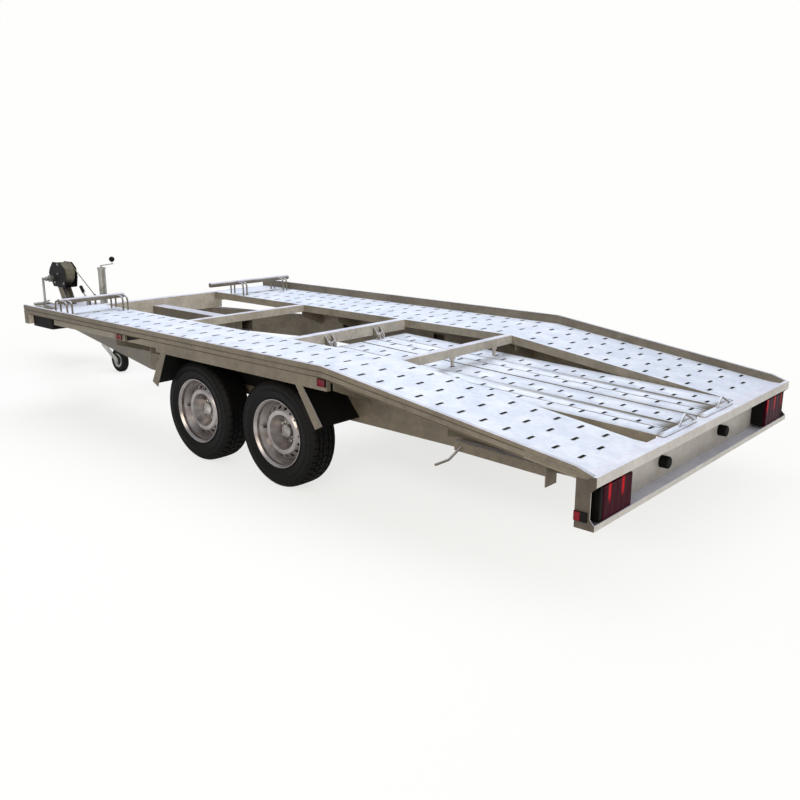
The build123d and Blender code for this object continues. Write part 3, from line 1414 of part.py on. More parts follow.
def red_markers():
    """The red side lamps: on each front bracket, skirt and end of the tail beam."""
    middle = bar(
        SKIRT_REAR + GUARD_SHEET, SKIRT_REAR + GUARD_SHEET + MARKER_WIDTH,
        SKIRT_OUTER, SKIRT_OUTER + MARKER_THICK,
        MARKER_LEVEL - MARKER_HEIGHT / 2, MARKER_LEVEL + MARKER_HEIGHT / 2,
    )
    room = deck_level(SKIRT_REAR) - PLANK_SHEET * 2
    middle = middle - bar(
        SKIRT_REAR - OVERRUN, SKIRT_REAR + HALF_WIDTH, 0, HALF_WIDTH + OVERRUN, room, RAIL_TOP
    )
    rear = bar(
        TAIL_DEPTH - MARKER_WIDTH, TAIL_DEPTH, HALF_WIDTH, HALF_WIDTH + MARKER_THICK,
        REAR_MARKER_LEVEL - REAR_MARKER_HEIGHT / 2, REAR_MARKER_LEVEL + REAR_MARKER_HEIGHT / 2,
    )
    top = PLANK_TOP - PLANK_SHEET
    front = bar(
        FRONT_MARKER_STATION - FRONT_LENS_WIDTH / 2, FRONT_MARKER_STATION + FRONT_LENS_WIDTH / 2,
        HALF_WIDTH - MARKER_THICK, HALF_WIDTH - MARKER_THICK + FRONT_LENS_THICK,
        top - FRONT_MARKER_HEIGHT + FRONT_LENS_THICK, top - FRONT_LENS_THICK,
    )
    near = [middle, rear, front]
    return Compound(children=near + [mirrored(piece) for piece in near])


def front_markers():
    """The brackets of the front side lamps, each with its wedge-shaped wing."""
    half = FRONT_MARKER_WIDTH / 2
    top = PLANK_TOP - PLANK_SHEET
    rear = FRONT_MARKER_STATION - half
    block = bar(
        rear, FRONT_MARKER_STATION + half, PLANK_OUTER_WEB, HALF_WIDTH - MARKER_THICK,
        top - FRONT_MARKER_HEIGHT, top,
    )
    wing = side_plate(
        [(rear, top - FRONT_MARKER_HEIGHT), (rear, top), (rear - WEDGE_LENGTH, top)],
        PLANK_OUTER_WEB, PLANK_OUTER_WEB + WEDGE_SHEET,
    )
    piece = block + wing
    return Compound(children=[piece, mirrored(piece)])


LAMP_INNER = 765.0
LAMP_OUTER = 1020.0
LAMP_BOTTOM = 336.0
LAMP_HEIGHT = 144.0
LAMP_HOUSING_DEPTH = 66.0
LAMP_LENS_REAR = 6.0
BUFFER_RADIUS = 28.0
BUFFER_REACH = 42.0
BUFFER_OFFSET = 330.0
BUFFER_LEVEL = 398.0
BUFFER_ROUND = 8.0


def tail_lamps():
    """Black housings on the tail beam's web, and the red lenses on them."""
    web = TAIL_DEPTH - TAIL_SHEET
    seam = web - LAMP_HOUSING_DEPTH
    housing = bar(seam, web, LAMP_INNER, LAMP_OUTER, LAMP_BOTTOM, LAMP_BOTTOM + LAMP_HEIGHT)
    lens = bar(LAMP_LENS_REAR, seam, LAMP_INNER, LAMP_OUTER, LAMP_BOTTOM, LAMP_BOTTOM + LAMP_HEIGHT)
    return (
        Compound(children=[housing, mirrored(housing)]),
        Compound(children=[lens, mirrored(lens)]),
    )


def buffers():
    """Two round rubber buffers on the tail beam's web."""
    web = TAIL_DEPTH - TAIL_SHEET
    one = Cylinder(BUFFER_RADIUS, BUFFER_REACH)
    one = fillet(one.edges().sort_by(Axis.Z)[0], BUFFER_ROUND)
    one = Pos(web - BUFFER_REACH / 2, BUFFER_OFFSET, BUFFER_LEVEL) * Rot(0, 90, 0) * one
    return Compound(children=[one, mirrored(one)])


# Fittings on the deck
STOP_STATION = 4150.0
STOP_LEVEL = 788.0
STOP_RADIUS = 18.0
STOP_ENDS = (500.0, 985.0)
LONG_STOP_ENDS = (255.0, 1050.0)
LOOP_RADIUS = 6.0
LOOP_HALF = 78.0
LOOP_BEND = 30.0
LOOP_INSETS = [16.0, 52.0]


def wheel_stop(bar_ends):
    """A round bar across the plank on bent rod loops."""
    inner, outer = STOP_ENDS
    piece = cross_round(STOP_STATION, STOP_LEVEL, STOP_RADIUS, *bar_ends)
    for inset in LOOP_INSETS:
        for y in (inner + inset, outer - inset):
            points = [
                (STOP_STATION - LOOP_HALF, y, PLANK_TOP),
                (STOP_STATION - LOOP_HALF, y, STOP_LEVEL),
                (STOP_STATION + LOOP_HALF, y, STOP_LEVEL),
                (STOP_STATION + LOOP_HALF, y, PLANK_TOP),
            ]
            piece = piece + rod(points, LOOP_RADIUS, LOOP_BEND)
    return piece


BOX_REAR = 4145.0
BOX_FRONT = 4416.0
BOX_INNER = 868.0
BOX_SETBACK = 26.0
BOX_OUTER = HALF_WIDTH - BOX_SETBACK
BOX_BOTTOM = 606.0
BOX_CORNER = 14.0


def tool_box():
    box = bar(BOX_REAR, BOX_FRONT, BOX_INNER, BOX_OUTER, BOX_BOTTOM, PLANK_TOP - PLANK_SHEET)
    return fillet(box.edges().filter_by(Axis.Z), BOX_CORNER)


# Assembly
PARTS = {}


def keep(name, shape):
    PARTS[name] = shape


def both(name, shape):
    keep(name + "_left", shape)
    keep(name + "_right", mirrored(shape))


def build_bed():
    both("deck_plank_front", plank(KINK_STATION, FRONT_BEAM_REAR, BOX_REAR - OVERRUN))
    both("deck_plank_rear", plank(TAIL_DEPTH, KINK_STATION, KINK_STATION))
    both("edge_rail", edge_rail())
    keep("front_beam", front_beam())
    keep("tail_beam", tail_beam())
    keep("cross_member_front", member(MEMBER_2, MEMBER_WIDTH, PLANK_DEPTH))
    keep("cross_member_middle", member_3())
    keep("cross_member_rear", member_4())
    keep("centre_tube", centre_tube())
    both("chassis_beam", chassis_beam())
    both("mudguard", mudguard())
    both("side_skirt", skirt())
    keep("tool_box", tool_box())
    keep("wheel_stop_left", wheel_stop(STOP_ENDS))
    keep("wheel_stop_right", mirrored(wheel_stop(LONG_STOP_ENDS)))


def build_running_gear():
    keep("axle_front", axle(AXLE_FRONT))
    keep("axle_rear", axle(AXLE_REAR))
    for name, station in (("front", AXLE_FRONT), ("rear", AXLE_REAR)):
        both("tyre_" + name, tyre(station))
        both("rim_" + name, rim(station))


def build_ramps():
    keep("ramp_left", ramp(LEFT_RAMP_EDGE, RAMP_PIN_OFFSET, LEFT_HANDLE_FOOT))
    keep("ramp_right", ramp(RIGHT_RAMP_EDGE, -RAMP_PIN_OFFSET, RIGHT_HANDLE_FOOT))
    both("prop_leg", prop_leg())


def build_drawbar():
    both("drawbar_leg", drawbar_leg())
    keep("drawbar_bridge", drawbar_bridge() + jockey_clamp())
    keep("nose_plates", nose_plate())
    keep("overrun_housing", overrun_housing())
    keep("coupling_gaiter", gaiter())
    keep("coupling_head", coupling_head())
    lever, grip = handbrake()
    keep("handbrake_lever", lever)
    crank, knob = jockey_crank()
    keep("jockey_tube", jockey_tube())
    keep("jockey_crank", crank)
    keep("hand_grips", Compound(children=[grip, knob]))
    keep("jockey_slider", jockey_slider())
    keep("jockey_fork", jockey_fork())
    keep("jockey_wheel", jockey_wheel())


def build_winch():
    keep("winch_post", winch_post())
    keep("winch_frame", winch_frame())
    keep("winch_rope", winch_rope())
    keep("winch_crank", winch_crank())


def build_lamps():
    housings, lenses = tail_lamps()
    keep("tail_lamp_housings", housings)
    keep("tail_lamp_lenses", lenses)
    keep("red_markers", red_markers())
    keep("front_markers", front_markers())
    keep("tail_buffers", buffers())


def write_parts():
    os.makedirs("parts", exist_ok=True)
    for name, shape in PARTS.items():
        placed = Pos(-OVERALL_LENGTH / 2, 0, 0) * shape
        export_step(placed, os.path.join("parts", name + ".step"))


build_bed()
build_running_gear()
build_ramps()
build_drawbar()
build_winch()
build_lamps()
write_parts()
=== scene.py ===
import json
import math

import bmesh
import bpy
from mathutils import Matrix, Vector

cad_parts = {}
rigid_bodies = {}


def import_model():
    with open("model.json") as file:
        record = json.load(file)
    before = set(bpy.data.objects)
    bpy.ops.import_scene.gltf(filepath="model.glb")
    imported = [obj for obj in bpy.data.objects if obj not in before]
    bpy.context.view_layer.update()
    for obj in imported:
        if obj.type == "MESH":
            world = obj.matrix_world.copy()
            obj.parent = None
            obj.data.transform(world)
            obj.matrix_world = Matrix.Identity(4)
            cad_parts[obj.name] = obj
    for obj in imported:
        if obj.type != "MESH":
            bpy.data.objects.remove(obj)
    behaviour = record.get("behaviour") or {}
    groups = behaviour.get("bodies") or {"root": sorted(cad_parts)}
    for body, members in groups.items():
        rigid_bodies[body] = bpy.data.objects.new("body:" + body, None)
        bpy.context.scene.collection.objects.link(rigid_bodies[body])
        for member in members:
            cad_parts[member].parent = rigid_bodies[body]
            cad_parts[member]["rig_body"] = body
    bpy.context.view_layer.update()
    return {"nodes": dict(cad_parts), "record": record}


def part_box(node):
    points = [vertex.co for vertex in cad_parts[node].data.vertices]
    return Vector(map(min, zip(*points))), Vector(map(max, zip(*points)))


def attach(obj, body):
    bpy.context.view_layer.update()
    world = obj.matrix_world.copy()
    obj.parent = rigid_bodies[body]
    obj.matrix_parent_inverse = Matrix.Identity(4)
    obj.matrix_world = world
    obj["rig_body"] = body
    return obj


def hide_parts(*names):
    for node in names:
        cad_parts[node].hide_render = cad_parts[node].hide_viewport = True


# Car carrier trailer, dressed. The row frame is in metres, the road at Z zero, the coupling
# towards +X. Sizes below are in millimetres, and stations count from the tail.

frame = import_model()
nodes = frame["nodes"]

SCENE = bpy.context.scene
MM = 0.001
HALF_LENGTH = 3240.0
SLOT_OF = {part["node"]: part["material_slot"] for part in frame["record"]["subparts"]}


def row_x(station):
    """Metres along the row for a station in millimetres from the tail."""
    return (station - HALF_LENGTH) * MM


# Camera, fitted to the photograph: place in metres, angles in degrees
CAMERA_PLACE = (-4.7258, 3.8581, 1.6296)
CAMERA_YAW, CAMERA_PITCH, CAMERA_ROLL = -49.3838, -14.6065, 0.3296
CAMERA_SHIFT = (-0.0182, 0.0022)
LENS = 39.14
SENSOR = 36.0
FAR_CLIP = 200.0


def aim(place, yaw, pitch, roll):
    """The camera's matrix for a heading, a tilt and a roll in degrees."""
    yaw, pitch, roll = (math.radians(angle) for angle in (yaw, pitch, roll))
    ahead = Vector((math.cos(pitch) * math.cos(yaw), math.cos(pitch) * math.sin(yaw),
                    math.sin(pitch)))
    right = ahead.cross(Vector((0, 0, 1))).normalized()
    up = right.cross(ahead)
    side = right * math.cos(roll) + up * math.sin(roll)
    top = up * math.cos(roll) - right * math.sin(roll)
    turn = Matrix((side, top, -ahead)).transposed().to_4x4()
    return Matrix.Translation(place) @ turn


camera_data = bpy.data.cameras.new("camera")
camera_data.sensor_width = SENSOR
camera_data.lens = LENS
camera_data.shift_x, camera_data.shift_y = CAMERA_SHIFT
camera_data.clip_end = FAR_CLIP
camera = bpy.data.objects.new("camera", camera_data)
SCENE.collection.objects.link(camera)
camera.matrix_world = aim(CAMERA_PLACE, CAMERA_YAW, CAMERA_PITCH, CAMERA_ROLL)
SCENE.camera = camera
SCENE.view_settings.view_transform = "Standard"


# Shader nodes and colours
def linear(hex_colour):
    """A six-digit sRGB colour as linear RGBA."""
    out = []
    for i in (0, 2, 4):
        v = int(hex_colour[i:i + 2], 16) / 255
        out.append(v / 12.92 if v <= 0.04045 else ((v + 0.055) / 1.055) ** 2.4)
    return (*out, 1.0)


def add(tree, kind, settings=None, inputs=None, links=None):
    """Adds one shader node with its settings, input values and links."""
    node = tree.nodes.new(kind)
    for name, value in (settings or {}).items():
        setattr(node, name, value)
    for name, value in (inputs or {}).items():
        node.inputs[name].default_value = value
    for name, socket in (links or {}).items():
        tree.links.new(socket, node.inputs[name])
    return node


# Studio: world, floor and lamps
BACKDROP = linear("fefefc")
GROUND_GLOW, HORIZON, SKY = "8d8271", "b5ae9f", "e6eefc"
STUDIO_STRENGTH = 0.9
FLOOR_RADIUS = 40.0
FADE_NEAR, FADE_FAR = 1.8, 5.0
FADE_START_SHARE = 0.74
LAMP_TARGET = (0.0, 0.0, 0.4)
# Lamps: name, place and size in metres, power in watts, colour
LAMPS = [
    ("overhead", (0.5, -1.0, 6.5), 6.0, 280, "f4f8ff"),
    ("left_side", (-3.5, 5.5, 3.0), 4.0, 150, "fff4e2"),
]


def make_world():
    """A soft studio: warm from the floor's side, cool from above, white to the camera."""
    world = bpy.data.worlds.new("studio")
    SCENE.world = world
    world.use_nodes = True
    tree = world.node_tree
    tree.nodes.clear()
    place = add(tree, "ShaderNodeTexCoord")
    split = add(tree, "ShaderNodeSeparateXYZ", links={"Vector": place.outputs["Generated"]})
    height = add(tree, "ShaderNodeMapRange", inputs={"From Min": -1.0, "From Max": 1.0},
                 links={"Value": split.outputs["Z"]})
    ramp = add(tree, "ShaderNodeValToRGB", links={"Fac": height.outputs["Result"]})
    stops = ramp.color_ramp.elements
    stops[0].position, stops[0].color = 0.0, linear(GROUND_GLOW)
    stops[1].position, stops[1].color = 1.0, linear(SKY)
    middle = stops.new(0.5)
    middle.color = linear(HORIZON)
    soft = add(tree, "ShaderNodeBackground", inputs={"Strength": STUDIO_STRENGTH},
               links={"Color": ramp.outputs["Color"]})
    white = add(tree, "ShaderNodeBackground", inputs={"Color": BACKDROP, "Strength": 1.0})
    path = add(tree, "ShaderNodeLightPath")
    mix = add(tree, "ShaderNodeMixShader", links={
        0: path.outputs["Is Camera Ray"], 1: soft.outputs[0], 2: white.outputs[0]})
    add(tree, "ShaderNodeOutputWorld", links={"Surface": mix.outputs[0]})


def make_floor():
    """A pale floor that keeps a light shadow near the trailer and fades into the backdrop."""
    bpy.ops.mesh.primitive_circle_add(vertices=64, radius=FLOOR_RADIUS, fill_type="NGON")
    floor = bpy.context.object
    floor.name = "floor"
    material = bpy.data.materials.new("pale_floor")
    material.use_nodes = True
    tree = material.node_tree
    tree.nodes.clear()
    paint = add(tree, "ShaderNodeBsdfDiffuse", inputs={"Color": linear("f2f1ee")})
    white = add(tree, "ShaderNodeEmission", inputs={"Color": BACKDROP, "Strength": 1.0})
    place = add(tree, "ShaderNodeTexCoord")
    far = add(tree, "ShaderNodeVectorMath", {"operation": "LENGTH"},
              links={0: place.outputs["Object"]})
    fade = add(tree, "ShaderNodeMapRange", {"interpolation_type": "SMOOTHSTEP"},
               {"From Min": FADE_NEAR, "From Max": FADE_FAR, "To Min": FADE_START_SHARE,
                "To Max": 1.0},
               {"Value": far.outputs["Value"]})
    path = add(tree, "ShaderNodeLightPath")
    seen = add(tree, "ShaderNodeMath", {"operation": "MULTIPLY"},
               links={0: fade.outputs["Result"], 1: path.outputs["Is Camera Ray"]})
    mix = add(tree, "ShaderNodeMixShader", links={
        0: seen.outputs[0], 1: paint.outputs[0], 2: white.outputs[0]})
    add(tree, "ShaderNodeOutputMaterial", links={"Surface": mix.outputs[0]})
    floor.data.materials.append(material)


def lamp(name, place, size, power, colour):
    """A round soft lamp that points at the trailer's middle."""
    data = bpy.data.lights.new(name, "AREA")
    data.shape = "DISK"
    data.size = size
    data.energy = power
    data.color = linear(colour)[:3]
    light = bpy.data.objects.new(name, data)
    SCENE.collection.objects.link(light)
    light.location = place
    ahead = Vector(LAMP_TARGET) - Vector(place)
    light.rotation_euler = ahead.to_track_quat("-Z", "Y").to_euler()


make_world()
make_floor()
for row in LAMPS:
    lamp(*row)


# Finishes
def surface(name, settings):
    """A material with one Principled shader, its fixed values set on its own sockets."""
    material = bpy.data.materials.new(name)
    material.use_nodes = True
    tree = material.node_tree
    tree.nodes.clear()
    shader = add(tree, "ShaderNodeBsdfPrincipled", inputs=settings)
    add(tree, "ShaderNodeOutputMaterial", links={"Surface": shader.outputs[0]})
    return material, tree, shader


def tone_ramp(tree, factor, low, high, dark, light):
    """A colour that runs from dark to light while the factor runs from low to high."""
    tone = add(tree, "ShaderNodeValToRGB", links={"Fac": factor})
    stops = tone.color_ramp.elements
    stops[0].position, stops[0].color = low, linear(dark)
    stops[1].position, stops[1].color = high, linear(light)
    return tone.outputs["Color"]


def blend_colour(tree, factor, first, second):
    """The first colour where the factor is 0, the second where it is 1."""
    mix = add(tree, "ShaderNodeMix", {"data_type": "RGBA"})
    tree.links.new(factor, mix.inputs[0])
    tree.links.new(first, mix.inputs[6])
    tree.links.new(second, mix.inputs[7])
    return mix.outputs[2]


# Zinc coat: spangles are drawn coarser than real ones, so that they show in the render
SPANGLE_MM = 22.0
SPANGLE_SHARE = 0.18
CLOUD_MM = 160.0
ZINC_TONES = (0.35, 0.8)
ZINC_RELIEF_MM = 0.4
ZINC_RELIEF_STRENGTH = 0.15
ZINC_ROUGH_SPREAD = 0.1
# How far a face looks up, or along the trailer, before its tone starts and ends to change. The
# tones by facing are painted light and shade.
SKY_SHEEN_TURN = (0.35, 0.8)
CROSS_TURN = (0.5, 0.9)


def finish_galvanised(name, upper, side, cross, metal, rough):
    """Hot-dip galvanised steel: zinc spangle and clouds, with light and shade painted by facing.

    upper, side and cross are each a light and a dark tone. The upper faces are painted pale and
    bluish, a painted sky sheen. The long sides and the undersides are painted brown as shade,
    and faces across the trailer are painted lighter, as lit faces.
    """
    material, tree, shader = surface(name, {"Metallic": metal})
    coords = add(tree, "ShaderNodeTexCoord")
    place = coords.outputs["Object"]
    spangle = add(tree, "ShaderNodeTexVoronoi", inputs={"Scale": 1.0 / (SPANGLE_MM * MM)},
                  links={"Vector": place})
    cloud = add(tree, "ShaderNodeTexNoise",
                inputs={"Scale": 1.0 / (CLOUD_MM * MM), "Detail": 5.0, "Roughness": 0.6},
                links={"Vector": place})
    value = add(tree, "ShaderNodeSeparateColor", links={"Color": spangle.outputs["Color"]})
    both = add(tree, "ShaderNodeMath", {"operation": "MULTIPLY_ADD"}, {1: SPANGLE_SHARE},
               {0: value.outputs["Red"], 2: cloud.outputs["Fac"]}).outputs[0]
    pale, side_shade_tone, cross_light_tone = (tone_ramp(tree, both, *ZINC_TONES, dark, light)
                           for light, dark in (upper, side, cross))
    # Painted light by facing: sky sheen on upper faces, shade on the sides, light on cross faces
    facing = add(tree, "ShaderNodeSeparateXYZ", links={"Vector": coords.outputs["Normal"]})
    sky_sheen_share = add(tree, "ShaderNodeMapRange",
                 inputs={"From Min": SKY_SHEEN_TURN[0], "From Max": SKY_SHEEN_TURN[1]},
                 links={"Value": facing.outputs["Z"]})
    across = add(tree, "ShaderNodeMath", {"operation": "ABSOLUTE"},
                 links={0: facing.outputs["X"]})
    crossed = add(tree, "ShaderNodeMapRange",
                  inputs={"From Min": CROSS_TURN[0], "From Max": CROSS_TURN[1]},
                  links={"Value": across.outputs[0]})
    upright = blend_colour(tree, crossed.outputs["Result"], side_shade_tone, cross_light_tone)
    colour = blend_colour(tree, sky_sheen_share.outputs["Result"], upright, pale)
    tree.links.new(colour, shader.inputs["Base Color"])
    spread = add(tree, "ShaderNodeMapRange",
                 inputs={"To Min": rough - ZINC_ROUGH_SPREAD, "To Max": rough + ZINC_ROUGH_SPREAD},
                 links={"Value": both})
    tree.links.new(spread.outputs["Result"], shader.inputs["Roughness"])
    bump = add(tree, "ShaderNodeBump",
               inputs={"Strength": ZINC_RELIEF_STRENGTH, "Distance": ZINC_RELIEF_MM * MM},
               links={"Height": cloud.outputs["Fac"]})
    tree.links.new(bump.outputs["Normal"], shader.inputs["Normal"])
    return material


PLAIN_CLOUD_MM = 1000.0 / 9
PLAIN_TONES = (0.3, 0.7)
GRAIN_STRENGTH = 0.3
PLAIN_ROUGH_SPREAD = 0.08


def finish_plain(name, light, dark, grain_mm, depth_mm, metal, rough, gloss=0.5):
    """A finish with a softly clouded tone and a fine grain of its own size and depth."""
    material, tree, shader = surface(name, {"Metallic": metal, "Specular IOR Level": gloss})
    place = add(tree, "ShaderNodeTexCoord").outputs["Object"]
    grain = add(tree, "ShaderNodeTexNoise",
                inputs={"Scale": 1.0 / (grain_mm * MM), "Detail": 3.0}, links={"Vector": place})
    cloud = add(tree, "ShaderNodeTexNoise",
                inputs={"Scale": 1.0 / (PLAIN_CLOUD_MM * MM), "Detail": 4.0},
                links={"Vector": place})
    tone = tone_ramp(tree, cloud.outputs["Fac"], *PLAIN_TONES, dark, light)
    tree.links.new(tone, shader.inputs["Base Color"])
    spread = add(tree, "ShaderNodeMapRange",
                 inputs={"To Min": rough - PLAIN_ROUGH_SPREAD,
                         "To Max": rough + PLAIN_ROUGH_SPREAD},
                 links={"Value": cloud.outputs["Fac"]})
    tree.links.new(spread.outputs["Result"], shader.inputs["Roughness"])
    bump = add(tree, "ShaderNodeBump",
               inputs={"Strength": GRAIN_STRENGTH, "Distance": depth_mm * MM},
               links={"Height": grain.outputs["Fac"]})
    tree.links.new(bump.outputs["Normal"], shader.inputs["Normal"])
    return material


# Painted highlights: bright upright streaks on the lens's upper part, spaced like the reflectors
# behind it
REFLECTOR_MM = 108.0
REFLECTOR_SHIFT_SHARE = 0.22
STREAK_LEVEL = 405.0
STREAK_BELOW, STREAK_ABOVE = 15.0, 30.0
STREAK_START = 0.72


def finish_lamp_lens():
    """Moulded red acrylic over reflectors, with bright upright streaks on top that are painted
    highlights.
    """
    material, tree, shader = surface("moulded_red_acrylic",
                                     {"Roughness": 0.35, "Specular IOR Level": 0.03})
    place = add(tree, "ShaderNodeTexCoord").outputs["Object"]
    split = add(tree, "ShaderNodeSeparateXYZ", links={"Vector": place})
    turn = add(tree, "ShaderNodeMath", {"operation": "MULTIPLY_ADD"},
               {1: 2 * math.pi / (REFLECTOR_MM * MM), 2: 2 * math.pi * REFLECTOR_SHIFT_SHARE},
               {0: split.outputs["Y"]})
    wave = add(tree, "ShaderNodeMath", {"operation": "COSINE"}, links={0: turn.outputs[0]})
    streak = add(tree, "ShaderNodeMapRange", inputs={"From Min": STREAK_START, "From Max": 1.0},
                 links={"Value": wave.outputs[0]})
    above = add(tree, "ShaderNodeMapRange", {"interpolation_type": "SMOOTHSTEP"},
                {"From Min": (STREAK_LEVEL - STREAK_BELOW) * MM,
                 "From Max": (STREAK_LEVEL + STREAK_ABOVE) * MM},
                {"Value": split.outputs["Z"]})
    lit = add(tree, "ShaderNodeMath", {"operation": "MULTIPLY"},
              links={0: streak.outputs["Result"], 1: above.outputs["Result"]})
    tone = tone_ramp(tree, lit.outputs[0], 0.0, 1.0, "3f0819", "d81c26")
    tree.links.new(tone, shader.inputs["Base Color"])
    return material


# Planks and ramps: near white with a painted bluish sky sheen on top, a brown painted shade only
# at their folded edges
DECK = finish_galvanised(
    "hot_dip_galvanised_sheet", upper=("e4e8f0", "cbd3e2"), side=("8f8676", "766e60"),
    cross=("a39a8a", "857c6d"), metal=0.15, rough=0.5)
# Slot collars: their walls are painted dark as shade, so that each slot reads as a dark dash
COLLAR = finish_galvanised(
    "galvanised_collar_painted_shade", upper=("e4e8f0", "cbd3e2"), side=("4a453c", "35312a"),
    cross=("4a453c", "35312a"), metal=0.1, rough=0.6)
# Chassis, rails and drawbar: a painted lavender-grey sky sheen on top, a grey-brown painted shade
# on the sides
FRAME = finish_galvanised(
    "hot_dip_galvanised_section", upper=("cfcfd8", "b3b3c0"), side=("7d7465", "635b4e"),
    cross=("8a8173", "70675a"), metal=0.25, rough=0.5)
# Cross members: the faces that look back are painted a pale beige, as lit faces
PALE = finish_galvanised(
    "hot_dip_galvanised_member", upper=("dcdde6", "c0c1d0"), side=("7b7264", "61594d"),
    cross=("d6cec0", "b0a798"), metal=0.1, rough=0.5)
# Tail beam: the palest web, painted as a lit face, between end plates painted dark as shade
TAIL = finish_galvanised(
    "hot_dip_galvanised_tail", upper=("e4e5ee", "cbccd9"), side=("564d42", "433b32"),
    cross=("e6e0d6", "ccc5ba"), metal=0.1, rough=0.5)
# Fittings: brighter and smoother than the galvanised steel round them
ZINC = finish_plain("bright_zinc_plate", "c4c3bd", "8f8d86",
                    grain_mm=2.0, depth_mm=0.05, metal=0.8, rough=0.32)
# Winch plates: a dull black that shows their edges only by a thin light
BLACK = finish_plain("black_enamel", "121213", "0a0a0b",
                     grain_mm=2.0, depth_mm=0.05, metal=0.0, rough=0.45, gloss=0.2)
# Brake drums: rough and dark, so that the rims' holes read as black
IRON = finish_plain("bare_cast_iron", "1c1917", "0f0d0c",
                    grain_mm=2.0, depth_mm=0.2, metal=0.3, rough=0.7, gloss=0.15)
# Painted shade in the rails' seams: a flat brown line with no shine
SEAM_SHADE = finish_plain("painted_seam_shade", "5d5346", "463e34",
                     grain_mm=3.0, depth_mm=0.2, metal=0.0, rough=0.8, gloss=0.1)
# Winch rope: a dull metal with dark grease in patches
ROPE = finish_plain("laid_steel_rope", "938d7b", "57523f",
                    grain_mm=1.5, depth_mm=0.3, metal=0.5, rough=0.5)
# Lamp housings, marker bases and splash panels: a fine moulded grain, almost black
PLASTIC = finish_plain("moulded_polypropylene", "131211", "0b0a0a",
                       grain_mm=1.0, depth_mm=0.1, metal=0.0, rough=0.6, gloss=0.15)
# Buffers, gaiter and valves: a flat black that is duller than the plastic
RUBBER = finish_plain("moulded_rubber", "131212", "080808",
                      grain_mm=1.0, depth_mm=0.15, metal=0.0, rough=0.7, gloss=0.2)
# Tyres: the darkest finish, with a soft grey light along the shoulders
TYRE = finish_plain("vulcanised_tyre_rubber", "0c0b0b", "050505",
                    grain_mm=1.5, depth_mm=0.15, metal=0.0, rough=0.6, gloss=0.18)
# Rims: a smooth silver, a little warm, that mirrors the tyre and the floor
RIM = finish_plain("silver_wheel_lacquer", "b8b2b0", "878180",
                   grain_mm=1.0, depth_mm=0.03, metal=0.85, rough=0.3)
# Side marker lenses: a clear deep red with a small sharp light
RED = finish_plain("red_marker_acrylic", "7c0c1c", "4a0813",
                   grain_mm=4.0, depth_mm=0.02, metal=0.0, rough=0.2, gloss=0.2)
LENS_RED = finish_lamp_lens()

FINISHES = {
    "galvanised_deck": DECK, "galvanised_steel": FRAME, "zinc_plated": ZINC,
    "winch_black": BLACK, "wire_rope": ROPE, "black_plastic": PLASTIC,
    "black_rubber": RUBBER, "tyre": TYRE, "jockey_tyre": RUBBER,
    "rim_silver": RIM, "red_lens": RED,
}
NODE_FINISHES = {
    "front_beam": PALE, "cross_member_front": PALE, "cross_member_middle": PALE,
    "cross_member_rear": PALE, "tail_beam": TAIL,
}


def dress_nodes():
    """Gives each CAD node the finish of its slot, or its own where the photograph shows one."""
    for name, node in nodes.items():
        material = NODE_FINISHES.get(name, FINISHES[SLOT_OF[name]])
        node.data.materials.clear()
        node.data.materials.append(material)


# Modelling by hand
WELD_GAP = 0.00002
SMOOTH_ANGLE = math.radians(32)


def choose(*pieces):
    """Selects these pieces alone and makes the first one active."""
    bpy.ops.object.select_all(action="DESELECT")
    for piece in pieces:
        piece.select_set(True)
    bpy.context.view_layer.objects.active = pieces[0]


def choose_nothing():
    """Deselects all, so that a new piece starts alone."""
    bpy.ops.object.select_all(action="DESELECT")


def edit():
    """Enters edit mode on the active piece."""
    bpy.ops.object.mode_set(mode="EDIT")


def leave():
    """Leaves edit mode and gives the piece."""
    bpy.ops.object.mode_set(mode="OBJECT")
    return bpy.context.object


def pick(kind, test):
    """In edit mode, selects the faces or points whose middle and normal pass a test."""
    piece = bpy.context.edit_object
    bpy.ops.mesh.select_mode(type=kind)
    bpy.ops.mesh.select_all(action="DESELECT")
    mesh = bmesh.from_edit_mesh(piece.data)
    if kind == "FACE":
        for face in mesh.faces:
            face.select_set(bool(test(face.calc_center_median(), face.normal)))
    else:
        for point in mesh.verts:
            point.select_set(bool(test(point.co, point.normal)))
    mesh.select_flush_mode()
    bmesh.update_edit_mesh(piece.data)


def modify(piece, kind, **settings):
    """Adds a modifier to the piece and applies it."""
    choose(piece)
    modifier = piece.modifiers.new(kind.lower(), kind)
    for name, value in settings.items():
        setattr(modifier, name, value)
    bpy.ops.object.modifier_apply(modifier=modifier.name)


def tidy_edit():
    """In edit mode, merges doubled points and turns the faces outwards."""
    bpy.ops.mesh.select_all(action="SELECT")
    bpy.ops.mesh.remove_doubles(threshold=WELD_GAP)
    bpy.ops.mesh.normals_make_consistent(inside=False)


def copies(piece, places):
    """Copies a piece to each place, each copy with its own mesh, joined as one piece."""
    made = []
    for place in places:
        twin = piece.copy()
        twin.data = piece.data.copy()
        SCENE.collection.objects.link(twin)
        twin.matrix_world = place
        made.append(twin)
    bpy.data.objects.remove(piece)
    bpy.context.view_layer.update()
    return joined(*made)


def both_sides(piece, inner, outer):
    """A piece that reaches between two offsets, with its copy on the other side."""
    shift = Matrix.Translation((0, -(inner + outer), 0))
    return copies(piece, [Matrix.Identity(4), shift])


def joined(*pieces):
    """Several pieces as one, each with its place kept."""
    choose(*pieces)
    if len(pieces) > 1:
        bpy.ops.object.join()
    bpy.ops.object.transform_apply(location=True, rotation=True, scale=True)
    return bpy.context.object


def settle(piece, name, material, slot, body, *stands_for):
    """Names a finished piece, fixes its place in its mesh and hangs it on its body."""
    choose(piece)
    bpy.ops.object.transform_apply(location=True, rotation=True, scale=True)
    bpy.ops.object.shade_smooth_by_angle(angle=SMOOTH_ANGLE)
    piece.name = name
    piece.data.name = name
    piece.data.materials.clear()
    piece.data.materials.append(material)
    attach(piece, body)
    if stands_for:
        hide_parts(*stands_for)
    return piece


